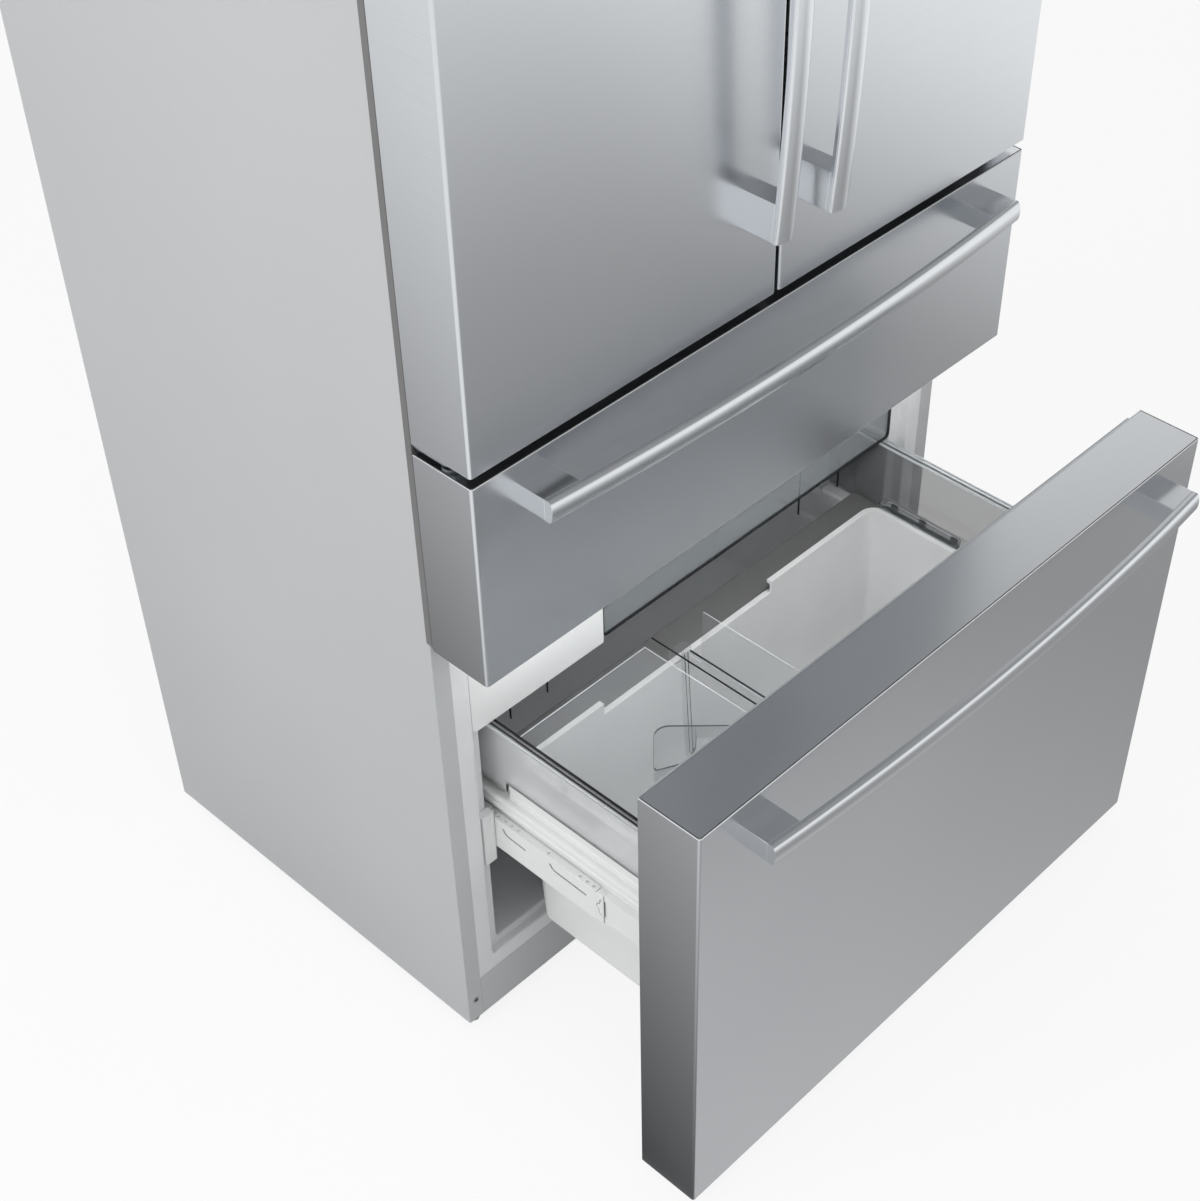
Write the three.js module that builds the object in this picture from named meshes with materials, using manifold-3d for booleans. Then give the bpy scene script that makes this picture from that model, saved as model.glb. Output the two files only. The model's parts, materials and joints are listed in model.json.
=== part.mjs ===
import * as THREE from 'three';
import { mergeVertices } from 'three/addons/utils/BufferGeometryUtils.js';
import Module from 'manifold-3d';

// Bottom freezer refrigerator: two side-hinged upper doors, a middle drawer and a freezer drawer.
// Millimetres. +X to the right seen from the front, the doors face -Y, +Z up, floor at z = 0.
// Y is counted from the front plane of the case until the last step, which centres the whole.

// ---- overall ----
const CASE_W = 905;              // outside width of the painted case
const CASE_D = 611;              // case depth, front flange to back panel
const CASE_BOTTOM = 15;          // lower edge of the side panels above the floor
const CASE_TOP = 1785;           // top of the case
const FRONT_OVER = 1.7;          // how far the fronts stand past the case at each side
const DRAWN_OUT = 306.4;         // how far the freezer drawer stands out at rest
const FIT = 0.3;                 // gap between parts that rest on each other
const HALF = CASE_W / 2;

// ---- doors and drawer fronts, from the floor up ----
const STAND_OFF = 6.7;           // from the case front to the back of the fronts
const DOOR_T = 86;               // thickness
const BACK_OF_FRONT = -STAND_OFF;
const FRONT_Y = BACK_OF_FRONT - DOOR_T;
const FRONT_W = CASE_W + 2 * FRONT_OVER;
const EDGE_R = 5;                // rounded upright edges
const SKIN = 1.2;                // stainless wrap
const SKIN_FIT = 0.2;
const FRZ_LOW = 25.8;
const FRZ_H = 652;
const GAP_LOWER = 9.4;           // between the two drawer fronts
const MID_H = 266;
const GAP_UPPER = 13.6;          // between the middle drawer and the doors
const DOOR_OVER = 20;            // how far the doors stand above the case
const DOOR_GAP = 6;              // between the two upper doors
const FRZ_HIGH = FRZ_LOW + FRZ_H;
const MID_LOW = FRZ_HIGH + GAP_LOWER;
const MID_HIGH = MID_LOW + MID_H;
const DOOR_LOW = MID_HIGH + GAP_UPPER;
const DOOR_HIGH = CASE_TOP + DOOR_OVER;
const GASKET_W = 12;
const GASKET_X = HALF - 16;      // outer half width of the gaskets
const GASKET_IN = 9;             // gasket edge from the centre plane on the upper doors

// ---- case ----
const SHEET = 1.2;               // painted steel sheet
const FLANGE = 24;               // front return of the case
const BACK_SHEET = 2.5;          // back panel
const LINER = 2.5;               // plastic liner wall
const KICK_TOP = 88;             // top edge of the lower cross rail
const KICK_RETURN = 40;          // depth of its bottom return
const FOAM_BOTTOM = 70;
const BAY_D = 236;               // machine bay at the lower back
const BAY_FRONT = CASE_D - BAY_D;
const BAY_TOP = 240;
const BAY_FLOOR = 45;            // underside of the base pan
const PAN_SHEET = 3;

// ---- compartments: half width, floor, ceiling, back wall, front border ----
const WALL = 50;                 // side insulation
const FREEZER_WALL = 70;
const BACK_WALL = 66;
const FREEZER_BACK_WALL = 71;
const SPLIT_HIGH = DOOR_LOW - 5.8;
const SPLIT_LOW = MID_LOW - 10.2;
const FRESH = { half: HALF - WALL, low: DOOR_LOW + 23.2, high: CASE_TOP - 65, back: CASE_D - BACK_WALL,
  frameLow: SPLIT_HIGH, frameHigh: CASE_TOP - FLANGE - FIT };
const MIDDLE = { half: HALF - WALL, low: MID_LOW + 17.8, high: MID_HIGH - 13.2, back: CASE_D - BACK_WALL,
  frameLow: SPLIT_LOW, frameHigh: SPLIT_HIGH - FIT };
const FREEZER = { half: HALF - FREEZER_WALL, low: 120, high: FRZ_HIGH - 22.8,
  back: CASE_D - FREEZER_BACK_WALL, frameLow: KICK_TOP + FIT, frameHigh: SPLIT_LOW - FIT };
const MOUTH_HALF = HALF - WALL;  // wider mouth of the freezer liner, in front of its step
const MOUTH_LOW = 113;
const MOUTH_DEPTH = 14;
const HUMP_FRONT = BAY_FRONT - 50;
const HUMP_TOP = BAY_TOP + 45;   // step of the freezer floor over the machine bay
const LEDGE = 8.5;               // shelf ledges moulded into the fresh liner
const LEDGE_H = 6;
const RUNNER_LEDGE = 12;         // ledge that carries the middle bin
const TRAY_LEDGE = 3;            // ledge that carries the freezer tray
const TRAY_LEDGE_TOP = FREEZER.high - 61;

// ---- handles ----
const BAR_W = 27.4;              // bar and post height
const POST_L = 47;               // post length along the bar
const POST_D = 35.8;             // from the front face to the bar
const STRIP = 5.3;               // flat rear part of the bar
const ROUND = 6;                 // curved front part of the bar
const DRAWER_BAR_END = 62.7;     // from a drawer front's ends to its bar's ends
const DRAWER_BOW = 17;           // how far the bar bulges at its middle
const DOOR_BOW = 13;
const DRAWER_BAR_DROP = 26.5;    // from the top of the front to the bar
const DOOR_BAR_INSET = 30;       // from the centre plane to the bar
const DOOR_BAR_END = 101;        // from the door's ends to the bar's ends

// ---- hinges ----
const HINGE_IN = 14;             // from the case side to the hinge axis
const HINGE_X = HALF - HINGE_IN;
const HINGE_Y = -45;
const HINGE_CLEAR = 1.3;         // between a hinge and the door's end
const HOUSING_OVER = 24;         // top of the hinge housings above the doors
const COVER_TOP = DOOR_HIGH + HOUSING_OVER;
const PIN_R = 5;
const BORE_R = 5.4;
const PIN_IN = 18;               // how deep a pin stands in the door

// ---- door lining ----
const DIKE_OUT = FRESH.half - 10.5;
const DIKE_IN = 38;
const DIKE_W = 22;
const DIKE_DEEP = 30;
const DIKE_LOW = FRESH.low + 10;
const DIKE_HIGH = FRESH.high - 12;
const BIN_DEEP = 85;
const BIN_H = 110;
const BIN_WALL = 3;
const BIN_LEVELS = [DIKE_LOW + 50, DIKE_LOW + 360];

// ---- folding mullion between the upper doors ----
const FLIP_X = -19.5;
const FLIP_Y = 11;
const FLIP_T = 14;
const FLIP_REACH = 47;
const FLIP_LOW = DIKE_LOW + 6;
const FLIP_HIGH = DIKE_HIGH - 4;
const FLIP_PIN_R = 3;
const FLIP_BORE_R = 3.3;

// ---- inside the fresh food compartment ----
const CRISPER_H = 186;
const CRISPER_IN = 6;            // from the centre plane
const CRISPER_SIDE = 6.5;        // from the compartment's wall
const CRISPER_W = FRESH.half - CRISPER_IN - CRISPER_SIDE;
const CRISPER_FRONT = 110;
const CRISPER_BACK = FRESH.back - 25;
const SHELF_T = 5;
const SHELF_FRONT = 100;
const SHELF_BACK = FRESH.back - 5;
const CRISPER_COVER = FRESH.low + CRISPER_H + 14;
const SHELF_LEVELS = [CRISPER_COVER + 340, CRISPER_COVER + 160, CRISPER_COVER];

// ---- middle bin ----
const MID_BIN_HALF = MIDDLE.half - 18.5;
const MID_BIN_BACK = MIDDLE.back - 115;
const MID_BIN_LOW = MIDDLE.low + 13;
const MID_BIN_HIGH = MIDDLE.high - 35;
const RUNNER_LEDGE_TOP = MID_BIN_HIGH - 27;

// ---- freezer drawer: distances from the centre plane are called d ----
const RAIL_T = 2;                // wall of the telescopic rails
const MEMBER_Z = [HUMP_TOP + 18, HUMP_TOP + 70];
const MEMBER_D = FREEZER.half - RAIL_T - 2 * FIT;
const MEMBER_FRONT = -170;
const MEMBER_L = 400;
const COVER_Y = FREEZER.back - 70;
const RAIL_FRONT = 6;
const RAIL_BACK = COVER_Y - 30;
const RUNNER_BACK = 100;
const RUNNER_SHORT = -10;        // rear end of the upper runner and of the basket's ledge
const RUNNER_TOP = MEMBER_Z[1] + 58;
const FRAME_D = FREEZER.half - 15;
const BASKET_HALF = FRAME_D - 35;
const BASKET_TAPER = 4;
const BASKET_LOW = FREEZER.low + 13;
const BASKET_RIM = RUNNER_TOP + 12;
const BASKET_DEEP = 308.4;
const RIM_OUT = 6;
const RIM_T = 5;
const NOTCH = [-150, 122];       // lowered part of the rear rim
const NOTCH_DROP = 8;
const DIVIDER_X = -63;
const DIVIDER_T = 3;
const ICE_W = 192;
const ICE_X = [6 - FREEZER.half, 6 - FREEZER.half + ICE_W];
const TRAY_X = [ICE_X[1] + 12.5, FREEZER.half - 6.5];
const TRAY_Z = [FREEZER.high - 145, FREEZER.high - 15];
const TRAY_FRONT = 12;
const TRAY_BACK = COVER_Y - 30;
const ICE_LOW = TRAY_Z[0] + 5;
const FRAME_TOP = TRAY_Z[0] - 2;

// ---- feet, rollers and machine bay ----
const FOOT_X = HALF - 18.5;
const FOOT_Y = 17;
const FOOT_R = 11;
const STEM_R = 4;
const ROLLER_X = HALF - 42.5;
const ROLLER_Y = CASE_D - 46;
const ROLLER_R = 20;
const ROLLER_W = 22;
const AXLE_R = 4;
const COMP_X = -210;
const COMP_Y = CASE_D - 119;
const COMP_R = 84;
const FAN_X = 60;
const FAN_Y = CASE_D - 121;
const FAN_Z = 142;
const FAN_R = 66;

const Y_LOW = FRONT_Y - DRAWN_OUT - POST_D - DRAWER_BOW - STRIP - ROUND;
const Y_MID = (Y_LOW + CASE_D) / 2;

const wasm = await Module();
wasm.setup();

// ---- helpers ----
function solidOf(geometry) {
  const bare = geometry.clone();
  bare.deleteAttribute('normal');
  bare.deleteAttribute('uv');
  const joined = mergeVertices(bare, 1e-5);
  return new wasm.Manifold(new wasm.Mesh({
    numProp: 3,
    vertProperties: new Float32Array(joined.attributes.position.array),
    triVerts: new Uint32Array(joined.index.array),
  }));
}

function box(x0, x1, y0, y1, z0, z1) {
  const [xa, xb] = [Math.min(x0, x1), Math.max(x0, x1)];
  const g = new THREE.BoxGeometry(xb - xa, y1 - y0, z1 - z0);
  g.translate((xa + xb) / 2, (y0 + y1) / 2, (z0 + z1) / 2);
  return solidOf(g);
}

function rod(axis, x, y, z, r, length, segments = 24) {
  const g = new THREE.CylinderGeometry(r, r, length, segments);
  if (axis === 'x') g.rotateZ(Math.PI / 2);
  if (axis === 'z') g.rotateX(Math.PI / 2);
  g.translate(x, y, z);
  return solidOf(g);
}

// A plan outline (x, y) raised from z0 to z1.
function raised(points, z0, z1) {
  const shape = new THREE.Shape(points.map(([x, y]) => new THREE.Vector2(x, y)));
  const g = new THREE.ExtrudeGeometry(shape, { depth: z1 - z0, bevelEnabled: false, steps: 1 });
  g.translate(0, 0, z0);
  return solidOf(g);
}

// An outline in the front view (x, z) carried from y0 back to y1.
function carried(points, y0, y1) {
  const shape = new THREE.Shape(points.map(([x, z]) => new THREE.Vector2(x, z)));
  const g = new THREE.ExtrudeGeometry(shape, { depth: y1 - y0, bevelEnabled: false, steps: 1 });
  g.rotateX(Math.PI / 2);
  g.translate(0, y1, 0);
  return solidOf(g);
}

function join(first, ...rest) {
  return rest.reduce((sum, next) => sum.add(next), first);
}

function cut(first, ...rest) {
  return rest.reduce((left, next) => left.subtract(next), first);
}

function arc(cx, cy, r, from, to, steps) {
  return Array.from({ length: steps + 1 }, (_, i) => {
    const a = from + (to - from) * i / steps;
    return [cx + r * Math.cos(a), cy + r * Math.sin(a)];
  });
}

// An open box, its mouth up.
function tub(x0, x1, y0, y1, z0, z1, wall) {
  const inside = box(x0 + wall, x1 - wall, y0 + wall, y1 - wall, z0 + wall, z1 + 1);
  return cut(box(x0, x1, y0, y1, z0, z1), inside);
}

const group = new THREE.Group();
group.name = 'bottom_freezer_refrigerator';

const finish = {
  painted: new THREE.MeshStandardMaterial({ color: 0xb9bbbd, roughness: 0.5, metalness: 0.2 }),
  steel: new THREE.MeshStandardMaterial({ color: 0xb4b7ba, roughness: 0.35, metalness: 0.9 }),
  white: new THREE.MeshStandardMaterial({ color: 0xe6e8ea, roughness: 0.45 }),
  grey: new THREE.MeshStandardMaterial({ color: 0x9b9da0, roughness: 0.6 }),
  rubber: new THREE.MeshStandardMaterial({ color: 0xc4c6c8, roughness: 0.8 }),
  black: new THREE.MeshStandardMaterial({ color: 0x222326, roughness: 0.6 }),
  foam: new THREE.MeshStandardMaterial({ color: 0xe8dfc0, roughness: 0.9 }),
  zinc: new THREE.MeshStandardMaterial({ color: 0x8f9296, roughness: 0.4, metalness: 0.8 }),
  clear: new THREE.MeshStandardMaterial({ color: 0xdde6ea, roughness: 0.1, transparent: true, opacity: 0.4 }),
};

function place(name, solid, material) {
  const raw = solid.getMesh();
  const g = new THREE.BufferGeometry();
  g.setAttribute('position', new THREE.BufferAttribute(new Float32Array(raw.vertProperties), 3));
  g.setIndex(new THREE.BufferAttribute(new Uint32Array(raw.triVerts), 1));
  const flat = g.toNonIndexed();
  flat.translate(0, -Y_MID, 0);
  flat.computeVertexNormals();
  const mesh = new THREE.Mesh(flat, material);
  mesh.name = name;
  group.add(mesh);
}

const SIDES = [['left', -1], ['right', 1]];

// ---- case ----
function caseWrapper() {
  const outside = box(-HALF, HALF, 0, CASE_D, CASE_BOTTOM, CASE_TOP);
  const hollow = box(-HALF + SHEET, HALF - SHEET, SHEET, CASE_D + 1, 0, CASE_TOP - SHEET);
  const mouth = box(-HALF + FLANGE, HALF - FLANGE, -1, SHEET + 1, 0, CASE_TOP - FLANGE);
  return cut(outside, hollow, mouth);
}

function backPanel() {
  const half = HALF - SHEET - SKIN_FIT;
  return box(-half, half, CASE_D - BACK_SHEET, CASE_D, BAY_TOP, CASE_TOP - SHEET - SKIN_FIT);
}

function linerShape(room, grow) {
  const shape = box(-room.half - grow, room.half + grow, -1, room.back + grow,
    room.low - grow, room.high + grow);
  if (room !== FREEZER) return shape;
  const mouth = box(-MOUTH_HALF - grow, MOUTH_HALF + grow, -1, MOUTH_DEPTH + grow,
    MOUTH_LOW - grow, room.high + grow);
  const hump = box(-HALF, HALF, HUMP_FRONT + grow, CASE_D, 0, HUMP_TOP - grow);
  return join(cut(shape, hump), mouth);
}

function liner(room) {
  const shell = cut(linerShape(room, LINER), box(-HALF, HALF, -5, SKIN_FIT, 0, CASE_TOP));
  const edge = HALF - FLANGE - SKIN_FIT;
  const border = box(-edge, edge, SKIN_FIT, SKIN_FIT + LINER, room.frameLow, room.frameHigh);
  return cut(join(shell, border), linerShape(room, 0));
}

function foamBody() {
  const half = HALF - SHEET - SKIN_FIT;
  const block = box(-half, half, SKIN_FIT + LINER + FIT, CASE_D - BACK_SHEET - SKIN_FIT,
    FOAM_BOTTOM, CASE_TOP - SHEET - SKIN_FIT);
  const bay = box(-HALF, HALF, BAY_FRONT, CASE_D, 0, BAY_TOP);
  const rooms = [FRESH, MIDDLE, FREEZER].map((room) => linerShape(room, LINER + FIT));
  return cut(block, bay, ...rooms);
}

function ledges(room, levels, reach, height, y0, y1) {
  return levels.flatMap((top) => SIDES.map(([, s]) =>
    box(s * room.half, s * (room.half - reach), y0, y1, top - height, top)));
}

place('case_wrapper', caseWrapper(), finish.painted);
place('back_panel', backPanel(), finish.painted);
place('foam_body', foamBody(), finish.foam);
place('fresh_liner', join(liner(FRESH),
  ...ledges(FRESH, SHELF_LEVELS, LEDGE, LEDGE_H, SHELF_FRONT, FRESH.back)), finish.white);
place('middle_liner', join(liner(MIDDLE),
  ...ledges(MIDDLE, [RUNNER_LEDGE_TOP], RUNNER_LEDGE, 14, MOUTH_DEPTH, MIDDLE.back)), finish.white);
place('freezer_liner', join(liner(FREEZER),
  ...ledges(FREEZER, [TRAY_LEDGE_TOP], TRAY_LEDGE, 4, MOUTH_DEPTH + 1, COVER_Y - 5)), finish.white);

// ---- lower front rail, feet, base pan and rollers ----
function kickRail() {
  const edge = HALF - FLANGE - SKIN_FIT;
  const inner = HALF - SHEET - SKIN_FIT - 1;
  const face = box(-edge, edge, 0, 3, CASE_BOTTOM, KICK_TOP);
  const shelf = box(-inner, inner, SHEET + SKIN_FIT, KICK_RETURN, CASE_BOTTOM + 1, CASE_BOTTOM + 4);
  const stiffener = box(-inner, inner, KICK_RETURN - 3, KICK_RETURN, CASE_BOTTOM + 1, FOAM_BOTTOM - FIT);
  const holes = SIDES.map(([, s]) => rod('z', s * FOOT_X, FOOT_Y, CASE_BOTTOM, STEM_R + FIT, 20));
  return cut(join(face, shelf, stiffener), ...holes);
}

function foot(s) {
  const pad = rod('z', s * FOOT_X, FOOT_Y, 5, FOOT_R, 10, 12);
  const stem = rod('z', s * FOOT_X, FOOT_Y, 30, STEM_R, 50, 12);
  return join(pad, stem);
}

function basePan() {
  const half = HALF - SHEET - SKIN_FIT;
  const plate = box(-half, half, KICK_RETURN + FIT, CASE_D - 6, BAY_FLOOR, BAY_FLOOR + PAN_SHEET);
  const brackets = SIDES.flatMap(([, s]) => {
    const cheeks = [-1, 1].map((side) => {
      const inner = ROLLER_X + side * (ROLLER_W / 2 + 1);
      const x = [s * inner, s * (inner + side * 3)].sort((a, b) => a - b);
      return box(x[0], x[1], ROLLER_Y - 14, ROLLER_Y + 14, ROLLER_R - 8, BAY_FLOOR + 1);
    });
    return [...cheeks, rod('x', s * ROLLER_X, ROLLER_Y, ROLLER_R, AXLE_R, ROLLER_W + 6)];
  });
  return join(plate, ...brackets);
}

function roller(s) {
  const wheel = rod('x', s * ROLLER_X, ROLLER_Y, ROLLER_R, ROLLER_R, ROLLER_W, 32);
  return cut(wheel, rod('x', s * ROLLER_X, ROLLER_Y, ROLLER_R, AXLE_R + FIT, ROLLER_W + 2));
}

place('kick_rail', kickRail(), finish.painted);
place('base_pan', basePan(), finish.zinc);
for (const [side, s] of SIDES) {
  place(`foot_${side}`, foot(s), finish.grey);
  place(`roller_${side}`, roller(s), finish.black);
}

// ---- machine bay ----
function machineCover() {
  const half = HALF - SHEET - SKIN_FIT - 0.5;
  const plate = box(-half, half, CASE_D - 5, CASE_D - 3, BAY_FLOOR + PAN_SHEET + FIT, BAY_TOP - 1);
  const slots = [];
  for (let column = 0; column < 6; column += 1) {
    for (let row = 0; row < 6; row += 1) {
      const x = -370 + column * 126;
      const z = 84 + row * 22;
      slots.push(box(x, x + 96, CASE_D - 7, CASE_D - 1, z, z + 9));
    }
  }
  return cut(plate, ...slots);
}

function compressor() {
  const low = BAY_FLOOR + PAN_SHEET + FIT;
  const profile = [[0, 14], [70, 14], [80, 22], [COMP_R, 30], [COMP_R, 92], [COMP_R + 3, 94],
    [COMP_R + 3, 100], [COMP_R, 102], [COMP_R - 2, 130], [66, 156], [36, 168], [0, 170]];
  const shell = new THREE.LatheGeometry(profile.map(([r, z]) => new THREE.Vector2(r, z)), 30);
  shell.rotateX(Math.PI / 2);
  shell.translate(COMP_X, COMP_Y, low);
  const saddle = box(COMP_X - 95, COMP_X + 95, COMP_Y - 45, COMP_Y + 45, low + 10, low + 16);
  const studs = [-80, 80].flatMap((dx) => [-32, 32].map((dy) =>
    rod('z', COMP_X + dx, COMP_Y + dy, low + 6, 10, 12, 16)));
  return join(solidOf(shell), saddle, ...studs);
}

function condenserUnit() {
  const low = BAY_FLOOR + PAN_SHEET + FIT;
  const shroud = cut(box(FAN_X + 26, FAN_X + 30, FAN_Y - 85, FAN_Y + 85, low, BAY_TOP - 4),
    rod('x', FAN_X + 28, FAN_Y, FAN_Z, FAN_R + 6, 10, 40));
  const motor = rod('x', FAN_X + 25, FAN_Y, FAN_Z, 18, 26, 24);
  const arms = [box(FAN_X + 26, FAN_X + 30, FAN_Y - 80, FAN_Y + 80, FAN_Z - 4, FAN_Z + 4),
    box(FAN_X + 26, FAN_X + 30, FAN_Y - 4, FAN_Y + 4, FAN_Z - 80, FAN_Z + 80)];
  const shaft = rod('x', FAN_X + 2, FAN_Y, FAN_Z, 2.5, 24, 16);
  const floor = box(FAN_X + 26, FAN_X + 330, FAN_Y - 85, FAN_Y + 85, low, low + 6);
  const fins = Array.from({ length: 8 }, (_, i) =>
    box(FAN_X + 90 + i * 30, FAN_X + 93 + i * 30, FAN_Y - 75, FAN_Y + 75, low + 5, BAY_TOP - 14));
  const tubes = [90, 175].flatMap((z) => [-40, 40].map((dy) =>
    rod('x', FAN_X + 201, FAN_Y + dy, z, 5, 250, 8)));
  return join(shroud, motor, ...arms, shaft, floor, ...fins, ...tubes);
}

function condenserFan() {
  const hub = rod('x', FAN_X, FAN_Y, FAN_Z, 16, 14, 24);
  const blades = Array.from({ length: 5 }, (_, i) => {
    const g = new THREE.BoxGeometry(1.6, 34, FAN_R - 12);
    g.translate(0, 0, (FAN_R - 12) / 2 + 12);
    g.rotateZ(-0.5);
    g.rotateX(i * 2 * Math.PI / 5);
    g.translate(FAN_X, FAN_Y, FAN_Z);
    return solidOf(g);
  });
  return cut(join(hub, ...blades), rod('x', FAN_X, FAN_Y, FAN_Z, 2.5 + FIT, 40, 16));
}

place('machine_cover', machineCover(), finish.zinc);
place('compressor', compressor(), finish.black);
place('condenser_unit', condenserUnit(), finish.black);
place('condenser_fan', condenserFan(), finish.black);

// ---- hinges ----
function middleHinge(s) {
  const z = DOOR_LOW - HINGE_CLEAR;
  const near = HINGE_X - 38.5;
  const far = HINGE_X + 11.5;
  const arm = raised([[far, -4], [far, HINGE_Y - 3], [HINGE_X + 5.5, HINGE_Y - 13],
    [HINGE_X - 8.5, HINGE_Y - 13], [HINGE_X - 14.5, HINGE_Y - 5], [HINGE_X - 14.5, HINGE_Y + 15],
    [near + 10, -10], [near, -4]].map(([x, y]) => [s * x, y]), z - 6, z);
  const leg = box(s * near, s * far, -4.5, -FIT, z - 10.5, z);
  const pin = rod('z', s * HINGE_X, HINGE_Y, z - 3 + (PIN_IN + 4) / 2, PIN_R, PIN_IN + 4);
  return join(arm, leg, pin);
}

function topHinge(s) {
  const under = DOOR_HIGH + HINGE_CLEAR;
  const near = HINGE_X - 42.5;
  const far = HINGE_X + 11.5;
  const housing = raised([[far, 70], [far, HINGE_Y - 7], [far - 8, HINGE_Y - 17], [near + 18, HINGE_Y - 17],
    [near + 8, HINGE_Y - 5], [near, 70]].map(([x, y]) => [s * x, y]), under, COVER_TOP);
  const seat = box(s * near, s * far, 4, 70, CASE_TOP + FIT, COVER_TOP - 2);
  const pin = rod('z', s * HINGE_X, HINGE_Y, under + 1 - (PIN_IN + 2) / 2, PIN_R, PIN_IN + 2);
  return join(housing, seat, pin);
}

for (const [side, s] of SIDES) {
  place(`hinge_middle_${side}`, middleHinge(s), finish.zinc);
  place(`hinge_top_${side}`, topHinge(s), finish.grey);
}

// ---- fresh food compartment ----
const SHELF_NAMES = ['shelf_upper', 'shelf_lower', 'crisper_cover'];
SHELF_NAMES.forEach((name, i) => {
  const half = FRESH.half - 0.8;
  const top = SHELF_LEVELS[i] + FIT;
  place(name, box(-half, half, SHELF_FRONT, SHELF_BACK, top, top + SHELF_T), finish.clear);
});
for (const [side, s] of SIDES) {
  const x = [s * CRISPER_IN, s * (CRISPER_IN + CRISPER_W)].sort((a, b) => a - b);
  const pull = box(x[0] + 60, x[1] - 60, CRISPER_FRONT - 9, CRISPER_FRONT + 1,
    FRESH.low + CRISPER_H - 26, FRESH.low + CRISPER_H - 20);
  place(`crisper_${side}`, join(tub(x[0], x[1], CRISPER_FRONT, CRISPER_BACK,
    FRESH.low + FIT, FRESH.low + FIT + CRISPER_H, BIN_WALL), pull), finish.clear);
}

// ---- fixed pieces of the freezer ----
function evaporatorCover() {
  const half = FREEZER.half - FIT;
  const plate = box(-half, half, COVER_Y, COVER_Y + 3, HUMP_TOP + FIT, FREEZER.high - FIT);
  const slots = [-300, -215, -60, 25, 110, 195, 280].map((x) =>
    box(x, x + 5, COVER_Y - 1, COVER_Y + 4, FREEZER.high - 95, FREEZER.high - 45));
  const vents = Array.from({ length: 8 }, (_, i) =>
    box(-140 + i * 36, -120 + i * 36, COVER_Y - 1, COVER_Y + 4, HUMP_TOP + 35, HUMP_TOP + 43));
  return cut(plate, ...slots, ...vents);
}

function iceMakerBox() {
  const r = 14;
  const [x0, x1] = ICE_X;
  const z1 = FREEZER.high - 10;
  const y1 = TRAY_BACK - 40;
  const outline = [...arc(x0 + r, ICE_LOW + r, r, Math.PI, 1.5 * Math.PI, 5),
    [x1, ICE_LOW], [x1, z1], [x0, z1]];
  const body = carried(outline, TRAY_FRONT, y1);
  const hollow = box(x0 + BIN_WALL, x1 - BIN_WALL, TRAY_FRONT + BIN_WALL, y1 - BIN_WALL,
    ICE_LOW + 12, z1 + 1);
  const flange = box(-FREEZER.half + 0.6, x0 + 1, MOUTH_DEPTH + 3, y1 - 2,
    TRAY_LEDGE_TOP + FIT, TRAY_LEDGE_TOP + 4);
  const ledge = box(x1 - 1, x1 + 7, MOUTH_DEPTH + 3, y1 - 2, TRAY_LEDGE_TOP - 4, TRAY_LEDGE_TOP);
  const hanger = box(x1 - BIN_WALL, x1, TRAY_FRONT + 48, y1 - 20, z1 - 5, FREEZER.high - FIT);
  return join(cut(body, hollow), flange, ledge, hanger);
}

function upperTray() {
  const r = 12;
  const [x0, x1] = TRAY_X;
  const [z0, z1] = TRAY_Z;
  const outline = [...arc(x0 + r, z0 + r, r, Math.PI, 1.5 * Math.PI, 4),
    ...arc(x1 - r, z0 + r, r, 1.5 * Math.PI, 2 * Math.PI, 4), [x1, z1], [x0, z1]];
  const body = carried(outline, TRAY_FRONT, TRAY_BACK);
  const inner = [[x0 + BIN_WALL, z0 + r], [x0 + r, z0 + BIN_WALL], [x1 - r, z0 + BIN_WALL],
    [x1 - BIN_WALL, z0 + r], [x1 - BIN_WALL, z1 + 5], [x0 + BIN_WALL, z1 + 5]];
  const hollow = carried(inner, TRAY_FRONT + BIN_WALL, TRAY_BACK - BIN_WALL);
  const leftRim = box(ICE_X[1] + 1, x0 + 1, MOUTH_DEPTH + 3, TRAY_BACK - 44,
    TRAY_LEDGE_TOP + FIT, TRAY_LEDGE_TOP + 4);
  const rightRim = box(x1 - 1, FREEZER.half - 0.6, MOUTH_DEPTH + 3, TRAY_BACK - 2,
    TRAY_LEDGE_TOP + FIT, TRAY_LEDGE_TOP + 4);
  return join(cut(body, hollow), leftRim, rightRim);
}

// A channel lying on its side, its web outside.
function channel(s, d, depth, y0, y1, z0, z1) {
  const web = box(s * d, s * (d - RAIL_T), y0, y1, z0, z1);
  const flanges = [[z0, z0 + RAIL_T], [z1 - RAIL_T, z1]].map(([a, b]) =>
    box(s * d, s * (d - depth), y0, y1, a, b));
  return join(web, ...flanges);
}

function fixedRail(s) {
  const z0 = MEMBER_Z[0] - RAIL_T - FIT;
  const z1 = MEMBER_Z[1] + RAIL_T + FIT;
  const d = FREEZER.half - FIT;
  const block = box(s * d, s * (d - RAIL_T), RAIL_FRONT, RAIL_FRONT + 32, z0 - 22, z1);
  return join(channel(s, d, 13, RAIL_FRONT + 10, RAIL_BACK, z0, z1), block);
}

function member(s) {
  const [z0, z1] = MEMBER_Z;
  const slots = [0, 1].map((i) => box(s * (MEMBER_D + 1), s * (MEMBER_D - RAIL_T - 1),
    MEMBER_FRONT + 40 + i * 190, MEMBER_FRONT + 72 + i * 190, z0 + 18, z0 + 22));
  return cut(channel(s, MEMBER_D, 10, MEMBER_FRONT, MEMBER_FRONT + MEMBER_L, z0, z1), ...slots);
}

place('evaporator_cover', evaporatorCover(), finish.grey);
place('ice_maker_box', iceMakerBox(), finish.white);
place('upper_tray', upperTray(), finish.clear);
for (const [side, s] of SIDES) {
  place(`freezer_rail_${side}`, fixedRail(s), finish.white);
  place(`freezer_member_${side}`, member(s), finish.white);
}

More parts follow.
